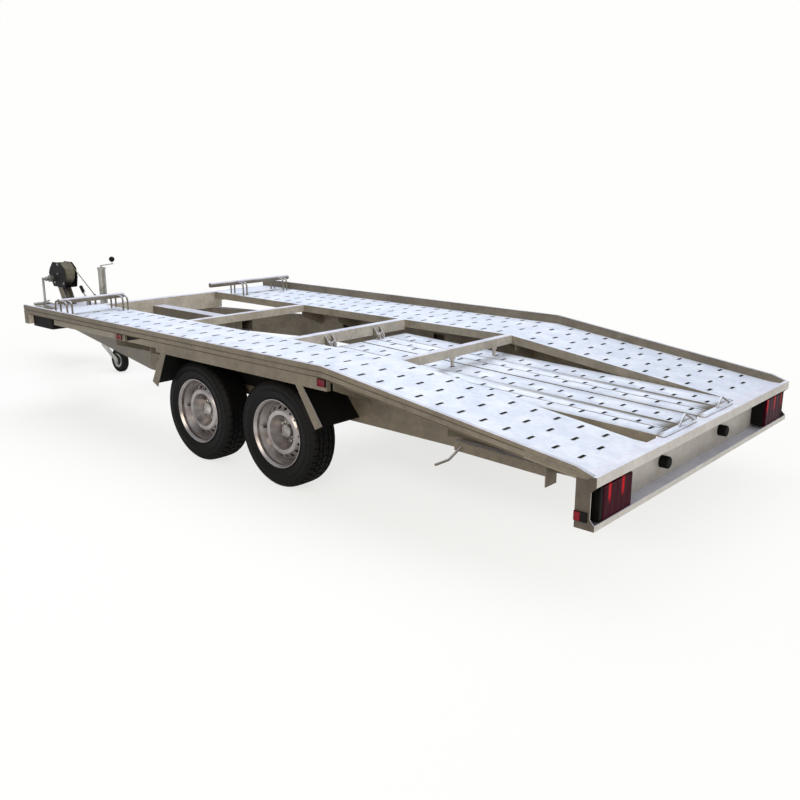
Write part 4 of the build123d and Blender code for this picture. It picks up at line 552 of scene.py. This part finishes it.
def draw(points):
    """A wire drawn point by point, from a plane merged to a point, left in edit mode."""
    choose_nothing()
    bpy.ops.mesh.primitive_plane_add(size=MM, location=points[0])
    edit()
    bpy.ops.mesh.select_mode(type="VERT")
    bpy.ops.mesh.select_all(action="SELECT")
    bpy.ops.mesh.merge(type="CENTER")
    for before, after in zip(points, points[1:]):
        step = Vector(after) - Vector(before)
        bpy.ops.mesh.extrude_vertices_move(TRANSFORM_OT_translate={"value": step})


def turned(section, steps):
    """A closed section of (radius, offset) rows in millimetres, spun round the Y axis."""
    ring = [(0.0, offset * MM, radius * MM) for radius, offset in section]
    draw(ring + ring[:1])
    bpy.ops.mesh.select_all(action="SELECT")
    bpy.ops.mesh.remove_doubles(threshold=WELD_GAP)
    bpy.ops.mesh.spin(steps=steps, angle=2 * math.pi, center=(0, 0, 0), axis=(0, 1, 0))
    tidy_edit()
    piece = leave()
    bpy.ops.object.transform_apply(location=True, rotation=True, scale=True)
    return piece


def block(low, high, round_mm):
    """A block between two corners in metres, with its edges rounded."""
    choose_nothing()
    low, high = Vector(low), Vector(high)
    bpy.ops.mesh.primitive_cube_add(size=1, location=(low + high) / 2)
    piece = bpy.context.object
    piece.scale = high - low
    bpy.ops.object.transform_apply(location=True, rotation=True, scale=True)
    modify(piece, "BEVEL", width=round_mm * MM, segments=2)
    return piece


def hexagon_head(radius, depth, middle, chamfer, rounds):
    """A bolt's chamfered hexagon, in millimetres, with its middle over the origin."""
    choose_nothing()
    bpy.ops.mesh.primitive_cylinder_add(vertices=6, radius=radius * MM, depth=depth * MM,
                                        location=(0, 0, middle * MM))
    head = bpy.context.object
    modify(head, "BEVEL", width=chamfer * MM, segments=rounds)
    return head


def upright_to(direction):
    """The turn that takes a piece's +Z to a direction."""
    return Vector(direction).to_track_quat("Z", "Y").to_matrix().to_4x4()


def side_faces(sign, inner, outer):
    """Two offsets in millimetres as metres on one side, the lower one first."""
    return sorted((sign * inner * MM, sign * outer * MM))


# Slotted sheets of the deck and the ramps
KINK = 1493.0
DECK_TOP = 690.0
TAIL_LEVEL = 507.8
TAIL_SLOPE = (DECK_TOP - TAIL_LEVEL) / KINK
TAIL_EDGE = 89.0
FRONT_EDGE = 4419.0
SLOT_WIDTH = 12.0
SLOT_GROWTH = 3.5
SLOT_EDGE = 10.0
WALL_TOLERANCE = 0.3
LIP_RIM = 3.5
LIP_CORNER_SHARE = 1.6
COLLAR_SHEET = 0.8
COLLAR_DEPTH = 14.0
LIP_SINK = 0.3
DECK_PITCH = 124.0
DECK_SLOT = 55.0
# Columns of slots: offset, station of the first slot
DECK_COLUMNS = [(562.0, 244.0), (716.0, 182.0), (870.0, 182.0), (1005.0, 244.0)]
COVER_REAR, COVER_FRONT = 4170.0, 4416.0
COVER_INNER, COVER_OUTER = 497.0, 1050.0
COVER_SHEET = 2.5
COVER_SINK = 0.2
COVER_ROUND = 0.6
RAMP_PITCH = 179.0
RAMP_SLOT = 50.0
RAMP_FOOT = 60.0
RAMP_FOOT_LEVEL = 523.96
RAMP_RISE_SHARE = 0.0345
RAMP_LAST = 2228.5
# Columns of slots: offset from the ramp's middle, station of the first slot
RAMP_COLUMNS = [(124.0, 166.0), (67.5, 257.0), (-67.5, 166.0), (-124.0, 257.0)]
RAMP_MIDDLES = {"ramp_left": 160.0, "ramp_right": -277.0}


def deck_level(station):
    """The planks' upper face, in millimetres."""
    return min(DECK_TOP, TAIL_LEVEL + TAIL_SLOPE * station)


def slot_stations(first, pitch, low, high):
    """The stations of a column's slots between two ends."""
    count = int((high - first) / pitch) + 1
    return [first + i * pitch for i in range(count) if low < first + i * pitch < high]


def opened_sheet(name, columns, pitch, slope):
    """A copy of a slotted sheet whose slots are opened by parting their long walls."""
    source = nodes[name]
    piece = source.copy()
    piece.data = source.data.copy()
    piece.parent = None
    for key in list(piece.keys()):
        del piece[key]
    SCENE.collection.objects.link(piece)
    choose(piece)
    edit()
    bpy.ops.mesh.select_all(action="SELECT")
    bpy.ops.mesh.remove_doubles(threshold=WELD_GAP)
    firsts = {first for offset, first in columns}
    for side in (1, -1):
        wall = side * SLOT_WIDTH / 2

        def on_wall(point, normal):
            station = point.x / MM + HALF_LENGTH
            gaps = [(station - first - wall + pitch / 2) % pitch - pitch / 2 for first in firsts]
            return min(abs(gap) for gap in gaps) < WALL_TOLERANCE

        pick("VERT", on_wall)
        step = side * SLOT_GROWTH * MM
        bpy.ops.transform.translate(value=(step, 0, step * slope))
    return settle(leave(), name + "_sheet", FINISHES[SLOT_OF[name]], SLOT_OF[name],
                  source["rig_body"], name)


def slot_lip(length):
    """The pressed collar of one slot: a rounded rim whose middle is drawn down and opened."""
    choose_nothing()
    bpy.ops.mesh.primitive_plane_add(size=1)
    piece = bpy.context.object
    width = SLOT_WIDTH + 2 * SLOT_GROWTH + 2 * LIP_RIM
    piece.scale = (width * MM, (length + 2 * LIP_RIM) * MM, 1)
    bpy.ops.object.transform_apply(scale=True)
    edit()
    bpy.ops.mesh.select_mode(type="VERT")
    bpy.ops.mesh.select_all(action="SELECT")
    bpy.ops.mesh.bevel(offset=LIP_RIM * LIP_CORNER_SHARE * MM, segments=1, affect="VERTICES")
    bpy.ops.mesh.select_mode(type="FACE")
    bpy.ops.mesh.select_all(action="SELECT")
    bpy.ops.mesh.inset(thickness=(LIP_RIM + COLLAR_SHEET) * MM, depth=0)
    bpy.ops.mesh.extrude_region_move(
        TRANSFORM_OT_translate={"value": (0, 0, -COLLAR_DEPTH * MM)})
    bpy.ops.mesh.delete(type="FACE")
    piece = leave()
    modify(piece, "SOLIDIFY", thickness=COLLAR_SHEET * MM, offset=1)
    return piece


def lip_place(station, offset, level, slope):
    """Where a slot's lip lies on its sheet, sunk a little and turned to its slope."""
    turn = Matrix.Rotation(-math.atan(slope), 4, "Y")
    return Matrix.Translation((row_x(station), offset * MM, (level - LIP_SINK) * MM)) @ turn


def dress_deck():
    """Opened planks and a lip round each slot in view, on both sides."""
    for part, low, high, slope in (
            ("rear", TAIL_EDGE, KINK, TAIL_SLOPE), ("front", KINK, FRONT_EDGE, 0.0)):
        last = min(high, COVER_REAR)
        for side, sign in (("left", 1), ("right", -1)):
            opened_sheet(f"deck_plank_{part}_{side}", DECK_COLUMNS, DECK_PITCH, slope)
            places = []
            for offset, first in DECK_COLUMNS:
                for station in slot_stations(first, DECK_PITCH, low + SLOT_EDGE, last - SLOT_EDGE):
                    places.append(lip_place(station, sign * offset, deck_level(station), slope))
            lips = copies(slot_lip(DECK_SLOT), places)
            settle(lips, f"deck_lips_{part}_{side}", COLLAR, "galvanised_deck", "trailer_frame")


def dress_front_covers():
    """The plain sheet over the front end of each runway, its edges rounded over."""
    covers = []
    for sign in (1, -1):
        near, far = side_faces(sign, COVER_INNER, COVER_OUTER)
        covers.append(block(
            (row_x(COVER_REAR), near, (DECK_TOP - COVER_SINK) * MM),
            (row_x(COVER_FRONT), far, (DECK_TOP + COVER_SHEET) * MM), COVER_ROUND))
    settle(joined(*covers), "front_covers", DECK, "galvanised_deck", "trailer_frame")


def dress_ramps():
    """Opened ramps and their slots' lips, which swing with them."""
    for name, middle in RAMP_MIDDLES.items():
        opened_sheet(name, RAMP_COLUMNS, RAMP_PITCH, RAMP_RISE_SHARE)
        places = []
        for offset, first in RAMP_COLUMNS:
            for station in slot_stations(first, RAMP_PITCH, RAMP_FOOT, RAMP_LAST):
                level = RAMP_FOOT_LEVEL + RAMP_RISE_SHARE * (station - RAMP_FOOT)
                places.append(lip_place(station, middle + offset, level, RAMP_RISE_SHARE))
        lips = copies(slot_lip(RAMP_SLOT), places)
        settle(lips, name + "_lips", COLLAR, "galvanised_deck", name + "_body")


# Road wheels
AXLES = {"rear": 1946.0, "front": 2638.5}
WHEEL_LEVEL = 298.0
WHEEL_MIDDLE = 900.0
TREAD_STEPS = 180
# Tyre section from the bead to the middle of the tread: radius, half offset
TYRE_SECTION = [
    (177.8, 70.0), (187.0, 75.0), (189.5, 81.0), (193.0, 81.5), (195.0, 79.0), (214.0, 86.5),
    (229.0, 89.0), (231.0, 90.0), (236.0, 90.0), (238.0, 88.8), (258.0, 86.5), (260.0, 87.2),
    (263.0, 86.6), (277.0, 80.5), (286.0, 74.0), (292.5, 67.0), (295.5, 59.0), (296.6, 50.0),
    (290.0, 49.0), (290.0, 43.5), (297.2, 42.5), (298.0, 22.0), (291.0, 21.0), (291.0, 16.0),
    (298.0, 15.0),
]
# Cuts in the tyre: radius from and to, half offset from and to, one face in so many, which
# one of them, depth. Shoulder blocks, sipes beside the middle rib and in it, serrated ring.
TYRE_CUTS = [
    (289.0, 299.0, 51.0, 73.0, 4, 0, 5.0),
    (296.0, 299.0, 23.0, 42.0, 4, 2, 3.5),
    (296.0, 299.0, -1.0, 14.0, 4, 1, 3.0),
    (264.0, 276.0, 78.0, 88.0, 3, 0, 1.2),
]
CUT_RIM = 0.8


def tyre():
    """A road tyre: four grooves, shoulder blocks, sipes, a rim guard and a serrated ring."""
    section = TYRE_SECTION + [(radius, -offset) for radius, offset in reversed(TYRE_SECTION)]
    piece = turned(section, TREAD_STEPS)
    choose(piece)
    edit()
    for low, high, near, far, every, phase, depth in TYRE_CUTS:

        def in_cut(point, normal):
            radius = math.hypot(point.x, point.z) / MM
            offset = abs(point.y) / MM
            count = round(math.degrees(math.atan2(point.z, point.x)) * TREAD_STEPS / 360 - 0.5)
            return low < radius < high and near < offset < far and count % every == phase

        pick("FACE", in_cut)
        bpy.ops.mesh.inset(thickness=CUT_RIM * MM, depth=-depth * MM)
    return leave()


BOLT_RING = 56.0
BOLT_COUNT = 5
BOLT_HEAD_RADIUS, BOLT_HEAD_DEPTH, BOLT_HEAD_MIDDLE = 10.5, 15.0, 8.5
BOLT_CHAMFER = 1.6
BOLT_FLANGE_RADIUS, BOLT_FLANGE_DEPTH = 14.0, 5.0
BOLT_FLANGE_CHAMFER = 0.7
HUB_FACE = 882.0
CAP_RADIUS = 34.0
# Turned sections: radius, offset
CAP_SECTION = [
    (0.5, 0.0), (CAP_RADIUS, 0.0), (CAP_RADIUS, 5.0), (CAP_RADIUS - 2, 7.0),
    (CAP_RADIUS - 3, 24.0), (CAP_RADIUS - 7, 30.0), (CAP_RADIUS - 18, 33.5), (0.5, 34.5),
]
VALVE_SECTION = [
    (0.3, 0.0), (6.0, 0.0), (5.0, 10.0), (3.6, 12.0), (3.6, 22.0), (4.4, 23.0), (4.4, 34.0),
    (3.0, 36.0), (0.3, 36.5),
]
DRUM_SECTION = [(112.2, -36.0), (146.0, -34.0), (150.0, -30.0), (150.0, -26.0), (112.2, -24.0)]
VALVE_RADIUS, VALVE_OFFSET = 146.0, 12.0
CAP_STEPS, VALVE_STEPS, DRUM_STEPS = 32, 16, 48


def wheel_bolt():
    """A wheel bolt's head: a hexagon with a chamfered crown on a round flange."""
    head = hexagon_head(BOLT_HEAD_RADIUS, BOLT_HEAD_DEPTH, BOLT_HEAD_MIDDLE, BOLT_CHAMFER, 2)
    choose_nothing()
    bpy.ops.mesh.primitive_cone_add(
        vertices=24, radius1=BOLT_FLANGE_RADIUS * MM, radius2=BOLT_HEAD_RADIUS * MM,
        depth=BOLT_FLANGE_DEPTH * MM, location=(0, 0, BOLT_FLANGE_DEPTH / 2 * MM))
    flange = bpy.context.object
    modify(flange, "BEVEL", width=BOLT_FLANGE_CHAMFER * MM, segments=1)
    return joined(head, flange)


def dress_wheels():
    """Each wheel: a treaded tyre, bolts, a pressed grease cap, a valve and the dark outer
    flange of its brake drum, which shows through the rim's round holes."""
    for axle, station in AXLES.items():
        for side, sign, turn in (("left", 1, 0.0), ("right", -1, math.pi)):
            hub = Matrix.Translation((row_x(station), sign * WHEEL_MIDDLE * MM,
                                      WHEEL_LEVEL * MM)) @ Matrix.Rotation(turn, 4, "Z")
            wheel = f"{axle}_{side}"
            body = "wheel_" + wheel
            settle(copies(tyre(), [hub]), "treaded_tyre_" + wheel, TYRE, "tyre", body,
                   "tyre_" + wheel)
            reach = (HUB_FACE - WHEEL_MIDDLE) * MM
            places = []
            for i in range(BOLT_COUNT):
                angle = math.pi * (2 * i + 1) / BOLT_COUNT
                spot = Matrix.Translation((BOLT_RING * MM * math.cos(angle), reach,
                                           BOLT_RING * MM * math.sin(angle)))
                places.append(hub @ spot @ upright_to((0, 1, 0)))
            bolts = copies(wheel_bolt(), places)
            cap = copies(turned(CAP_SECTION, CAP_STEPS),
                         [hub @ Matrix.Translation((0, reach, 0))])
            settle(joined(bolts, cap), "wheel_fixings_" + wheel, ZINC, "zinc_plated", body)
            settle(copies(turned(DRUM_SECTION, DRUM_STEPS), [hub]), "drum_flange_" + wheel,
                   IRON, "galvanised_steel", body)
            stem = Matrix.Translation((VALVE_RADIUS * MM, VALVE_OFFSET * MM, 0))
            settle(copies(turned(VALVE_SECTION, VALVE_STEPS), [hub @ stem]), "valve_" + wheel,
                   RUBBER, "black_rubber", body)


# Side markers
# Lamps: station range, level range, inner and outer face, share of the length that is lens
SIDE_MARKERS = [
    ((3254.0, 3316.0), (650.0, 682.0), (1058.0, 1067.0), (0.06, 0.94)),
    ((1463.0, 1521.0), (645.0, 683.0), (1069.0, 1079.0), (0.06, 0.94)),
    ((31.0, 89.0), (346.0, 386.0), (1072.0, 1082.0), (0.5, 0.96)),
]
MARKER_STEP = 2.0
MARKER_ROUND = 1.5
MARKER_RIM, MARKER_SINK = 3.0, 1.2
WING_REAR, WING_FRONT = 3030.0, 3225.0
WING_LOW, WING_TOP = 645.0, 687.0
WING_FACE = 1047.5
WING_SETBACK, WING_MARGIN = 12.0, 3.0
WING_SHEET = 1.5


def dress_markers():
    """The side marker lamps: a red lens set in a black base, left and right alike."""
    bases, lenses = [], []
    for stations, levels, faces, share in SIDE_MARKERS:
        x0, x1 = row_x(stations[0]), row_x(stations[1])
        z0, z1 = levels[0] * MM, levels[1] * MM
        length = x1 - x0
        step = MARKER_STEP * MM
        for sign in (1, -1):
            near, far = side_faces(sign, *faces)
            bases.append(block((x0, near + (step if sign < 0 else 0), z0),
                               (x1, far - (step if sign > 0 else 0), z1), MARKER_ROUND))
            lens = block((x0 + length * share[0], near, z0 + step),
                         (x0 + length * share[1], far, z1 - step), MARKER_ROUND)
            choose(lens)
            edit()
            pick("FACE", lambda point, normal: normal.y * sign > 0.99)
            bpy.ops.mesh.inset(thickness=MARKER_RIM * MM, depth=-MARKER_SINK * MM)
            lenses.append(leave())
    settle(joined(*bases), "side_marker_bases", PLASTIC, "black_plastic", "trailer_frame")
    settle(joined(*lenses), "side_marker_lenses", RED, "red_lens", "trailer_frame",
           "red_markers")


def dress_wings():
    """The black wedge behind each front marker, painted shade for the shadow side of its bracket:
    three drawn points, filled and thickened.
    """
    wedges = []
    x0, x1 = row_x(WING_REAR + WING_SETBACK), row_x(WING_FRONT)
    z0, z1 = (WING_LOW + WING_MARGIN) * MM, (WING_TOP - WING_MARGIN) * MM
    for sign in (1, -1):
        face = sign * WING_FACE * MM
        draw([(x0, face, z1), (x1, face, z1), (x1, face, z0)])
        bpy.ops.mesh.select_all(action="SELECT")
        bpy.ops.mesh.edge_face_add()
        piece = leave()
        modify(piece, "SOLIDIFY", thickness=WING_SHEET * MM, offset=0)
        choose(piece)
        edit()
        tidy_edit()
        wedges.append(leave())
    # The wedges are black as painted shade on the marker bracket's shadow side
    settle(joined(*wedges), "front_marker_wings", PLASTIC, "black_plastic", "trailer_frame")


# Edge rails and mudguards
RAIL_FACE = 1072.2
SEAM_HEIGHT, SEAM_DEPTH = 5.0, 1.0
SEAM_ROUND = 0.3
SEAM_REAR = 330.0
# How far each seam runs over the deck
SEAM_RISES = (26.0, -2.0)
SPLASH_REAR, SPLASH_FRONT = 1600.0, 2880.0
SPLASH_LOW, SPLASH_TOP = 455.0, 621.0
SPLASH_INNER, SPLASH_OUTER = 785.2, 788.2
SPLASH_ROUND = 1.0


def dress_rail_seams():
    """The painted shade lines that follow each edge rail: bars along the slope and the level run.
    """
    bars = []
    half = SEAM_HEIGHT / 2 * MM
    for rise in SEAM_RISES:
        for sign in (1, -1):
            near, far = side_faces(sign, RAIL_FACE - SEAM_DEPTH, RAIL_FACE)
            for start, end in ((SEAM_REAR, KINK), (KINK, FRONT_EDGE)):
                x0, x1 = row_x(start), row_x(end)
                bar = block((x0, near, -half), (x1, far, half), SEAM_ROUND)
                choose(bar)
                edit()
                for edge, station in ((x0, start), (x1, end)):
                    pick("VERT", lambda point, normal: abs(point.x - edge) < SEAM_DEPTH * MM)
                    level = (deck_level(station) + rise) * MM
                    bpy.ops.transform.translate(value=(0, 0, level))
                bars.append(leave())
    settle(joined(*bars), "rail_seams", SEAM_SHADE, "galvanised_steel", "trailer_frame")


def dress_splash_panels():
    """The black inner panel of each mudguard, along the chassis beam's web."""
    panels = []
    for sign in (1, -1):
        near, far = side_faces(sign, SPLASH_INNER, SPLASH_OUTER)
        panels.append(block((row_x(SPLASH_REAR), near, SPLASH_LOW * MM),
                            (row_x(SPLASH_FRONT), far, SPLASH_TOP * MM), SPLASH_ROUND))
    settle(joined(*panels), "splash_panels", PLASTIC, "black_plastic", "trailer_frame")


# Jockey wheel's hub, each side turned: radius, offset
JOCKEY_BOSS = [(7.0, 18.0), (20.0, 18.0), (24.0, 20.0), (28.0, 25.0), (12.0, 25.0), (7.0, 25.0)]
JOCKEY_RING = [
    (40.0, 17.5), (50.0, 17.5), (57.0, 24.0), (61.0, 25.0), (58.0, 25.0), (50.0, 19.0),
    (40.0, 19.0),
]


def dress_jockey_wheel():
    """A pale dished hub on both faces of the jockey wheel, with its boss."""
    low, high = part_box("jockey_wheel")
    centre = Matrix.Translation((low + high) / 2)
    places = [centre, centre @ Matrix.Rotation(math.pi, 4, "Z")]
    boss = copies(turned(JOCKEY_BOSS, 32), places)
    ring = copies(turned(JOCKEY_RING, 48), places)
    settle(joined(boss, ring), "jockey_wheel_hub", ZINC, "zinc_plated", "jockey_roller")


# Tail lamps
LAMP_INNER = 765.0
LAMP_BEZEL = 24.0
LAMP_ROUND = 3.0
LENS_RIM, LENS_SINK = 5.0, 1.5
LENS_MARGIN = 3.0
FLUTES = 9
FLUTE_RIM, FLUTE_DEPTH = 2.0, 0.4


def dress_tail_lamps():
    """Fluted lenses in a raised frame, and the black end of each lamp's housing."""
    low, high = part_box("tail_lamp_lenses")
    inner = LAMP_INNER * MM
    edge = high.y - LAMP_BEZEL * MM
    bezel = block((low.x + LENS_MARGIN * MM, edge, low.z), high, LAMP_ROUND)
    settle(both_sides(bezel, edge, high.y), "tail_lamp_ends", PLASTIC, "black_plastic",
           "trailer_frame")
    piece = block((low.x, inner, low.z), (high.x, edge, high.z), LAMP_ROUND)
    choose(piece)
    edit()
    pick("FACE", lambda point, normal: normal.x < -0.99 and point.x < low.x + MM)
    bpy.ops.mesh.inset(thickness=LENS_RIM * MM, depth=-LENS_SINK * MM)
    start = inner + (LENS_RIM + LENS_MARGIN) * MM
    end = edge - (LENS_RIM + LENS_MARGIN) * MM
    pitch = (end - start) / FLUTES

    def sunk(point, normal):
        return normal.x < -0.99 and low.x + MM < point.x < low.x + 2 * LENS_SINK * MM

    for i in range(1, FLUTES):
        pick("FACE", sunk)
        bpy.ops.mesh.bisect(plane_co=(low.x, start + pitch * i, low.z), plane_no=(0, 1, 0))
    pick("FACE", lambda point, normal: sunk(point, normal)
         and int((point.y - start) / pitch) % 2 == 0)
    bpy.ops.mesh.inset(thickness=FLUTE_RIM * MM, depth=FLUTE_DEPTH * MM, use_individual=True)
    settle(both_sides(leave(), inner, edge), "fluted_lamp_lenses", LENS_RED, "red_lens",
           "trailer_frame", "tail_lamp_lenses")


# Winch rope: its places in metres
DRUM_CENTRE = Vector((2.690, 0.0, 0.770))
HOOK_PLACE = Vector((2.275, -0.044, 0.607))
ROPE_RADIUS = 4.5
ROPE_STRANDS = 6
ROPE_LAY, ROPE_STEP = 42.0, 5.0
ROPE_GROOVE_SHARE = 0.8
DRUM_TURNS = 11
COIL_RADIUS = 95.0
COIL_HALF = 45.0
CORE_BORE = 34.5
CORE_SINK, CORE_MARGIN = 2.0, 3.0
RUN_SINK = 3.0
LUG_HALF_LENGTH, LUG_HALF_WIDTH = 12.0, 4.0
LUG_FOOT = 516.0
LUG_ROUND = 3.0


def laid_rope(length):
    """A straight run of rope: six strands round one middle, twisted as it is drawn out."""
    choose_nothing()
    bpy.ops.mesh.primitive_circle_add(vertices=ROPE_STRANDS * 2, radius=ROPE_RADIUS * MM,
                                      fill_type="NGON")
    edit()
    pick("VERT", lambda point, normal: round(
        math.atan2(point.y, point.x) * ROPE_STRANDS / math.pi) % 2 == 0)
    bpy.ops.transform.resize(value=(ROPE_GROOVE_SHARE, ROPE_GROOVE_SHARE, 1),
                             center_override=(0, 0, 0))
    bpy.ops.mesh.select_mode(type="FACE")
    bpy.ops.mesh.select_all(action="SELECT")
    count = int(length / (ROPE_STEP * MM))
    for i in range(count):
        bpy.ops.mesh.extrude_region_move(
            TRANSFORM_OT_translate={"value": (0, 0, length / count)})
        bpy.ops.transform.rotate(value=2 * math.pi * ROPE_STEP / ROPE_LAY, orient_axis="Z",
                                 center_override=(0, 0, (i + 1) * length / count))
    bpy.ops.mesh.select_all(action="SELECT")
    bpy.ops.mesh.normals_make_consistent(inside=False)
    return leave()


def wound_turns():
    """The turns that lie side by side on the drum, each leaning by its pitch."""
    choose_nothing()
    bpy.ops.mesh.primitive_torus_add(major_radius=COIL_RADIUS * MM, minor_radius=ROPE_RADIUS * MM,
                                     major_segments=72, minor_segments=10)
    pitch = 2 * COIL_HALF / (DRUM_TURNS - 1)
    lean = Matrix.Rotation(math.pi / 2 + math.atan(pitch / (4 * COIL_RADIUS)), 4, "X")
    places = []
    for i in range(DRUM_TURNS):
        shift = Vector((0, (-COIL_HALF + i * pitch) * MM, 0))
        places.append(Matrix.Translation(DRUM_CENTRE + shift) @ lean)
    return copies(bpy.context.object, places)


def dress_winch_rope():
    """The rope: turns wound side by side on the drum, a laid run and its lug on the nose."""
    outer = wound_turns()
    half, radius = COIL_HALF + CORE_MARGIN, COIL_RADIUS - CORE_SINK
    core = turned([(CORE_BORE, -half), (radius, -half), (radius, half), (CORE_BORE, half)], 48)
    core.location = DRUM_CENTRE
    reach = DRUM_CENTRE - HOOK_PLACE
    reach.y = 0
    lift = math.asin((COIL_RADIUS - RUN_SINK) * MM / reach.length)
    angle = math.atan2(reach.z, reach.x) + lift
    rope = laid_rope(reach.length * math.cos(lift))
    rope.matrix_world = (Matrix.Translation(HOOK_PLACE)
                         @ upright_to((math.cos(angle), 0, math.sin(angle))))
    corner = Vector((LUG_HALF_LENGTH, LUG_HALF_WIDTH, LUG_HALF_LENGTH)) * MM
    foot = HOOK_PLACE - corner
    foot.z = LUG_FOOT * MM
    lug = block(foot, HOOK_PLACE + corner, LUG_ROUND)
    bpy.context.view_layer.update()
    settle(joined(outer, core, rope, lug), "laid_winch_rope", ROPE, "wire_rope",
           "trailer_frame", "winch_rope")


# Fasteners
# Hexagon bolts on the drawbar's nose and under the axles: station, offset, level and the way
# the head points
FRAME_BOLTS = [
    (5920.0, 58.0, 850.0, (0, 1, 0)), (5840.0, 58.0, 690.0, (0, 1, 0)),
    (5995.0, 58.0, 690.0, (0, 1, 0)), (5930.0, 58.0, 770.0, (0, 1, 0)),
    (5920.0, -58.0, 850.0, (0, -1, 0)), (5930.0, -58.0, 770.0, (0, -1, 0)),
    (2180.0, 742.0, 400.0, (0, 0, -1)), (2100.0, 742.0, 400.0, (0, 0, -1)),
    (2860.0, 742.0, 400.0, (0, 0, -1)), (2780.0, 742.0, 400.0, (0, 0, -1)),
    (2180.0, -742.0, 400.0, (0, 0, -1)), (2100.0, -742.0, 400.0, (0, 0, -1)),
    (2860.0, -742.0, 400.0, (0, 0, -1)), (2780.0, -742.0, 400.0, (0, 0, -1)),
]
HEAD_RADIUS, HEAD_DEPTH, HEAD_MIDDLE = 9.0, 7.0, 5.0
HEAD_CHAMFER = 1.0
WASHER_RADIUS, WASHER_SHEET, WASHER_MIDDLE = 12.0, 2.5, 0.75
WASHER_CHAMFER = 0.5


def hex_bolt():
    """A hexagon head with a chamfered crown, on a washer, standing on the origin."""
    head = hexagon_head(HEAD_RADIUS, HEAD_DEPTH, HEAD_MIDDLE, HEAD_CHAMFER, 1)
    choose_nothing()
    bpy.ops.mesh.primitive_cylinder_add(
        vertices=20, radius=WASHER_RADIUS * MM, depth=WASHER_SHEET * MM,
        location=(0, 0, WASHER_MIDDLE * MM))
    washer = bpy.context.object
    modify(washer, "BEVEL", width=WASHER_CHAMFER * MM, segments=1)
    return joined(head, washer)


def dress_bolts():
    """The bolts that show on the frame, as one piece."""
    places = [Matrix.Translation((row_x(station), offset * MM, level * MM)) @ upright_to(way)
              for station, offset, level, way in FRAME_BOLTS]
    settle(copies(hex_bolt(), places), "frame_bolts", ZINC, "zinc_plated", "trailer_frame")


dress_nodes()
dress_deck()
dress_front_covers()
dress_ramps()
dress_wheels()
dress_markers()
dress_wings()
dress_rail_seams()
dress_splash_panels()
dress_jockey_wheel()
dress_tail_lamps()
dress_winch_rope()
dress_bolts()
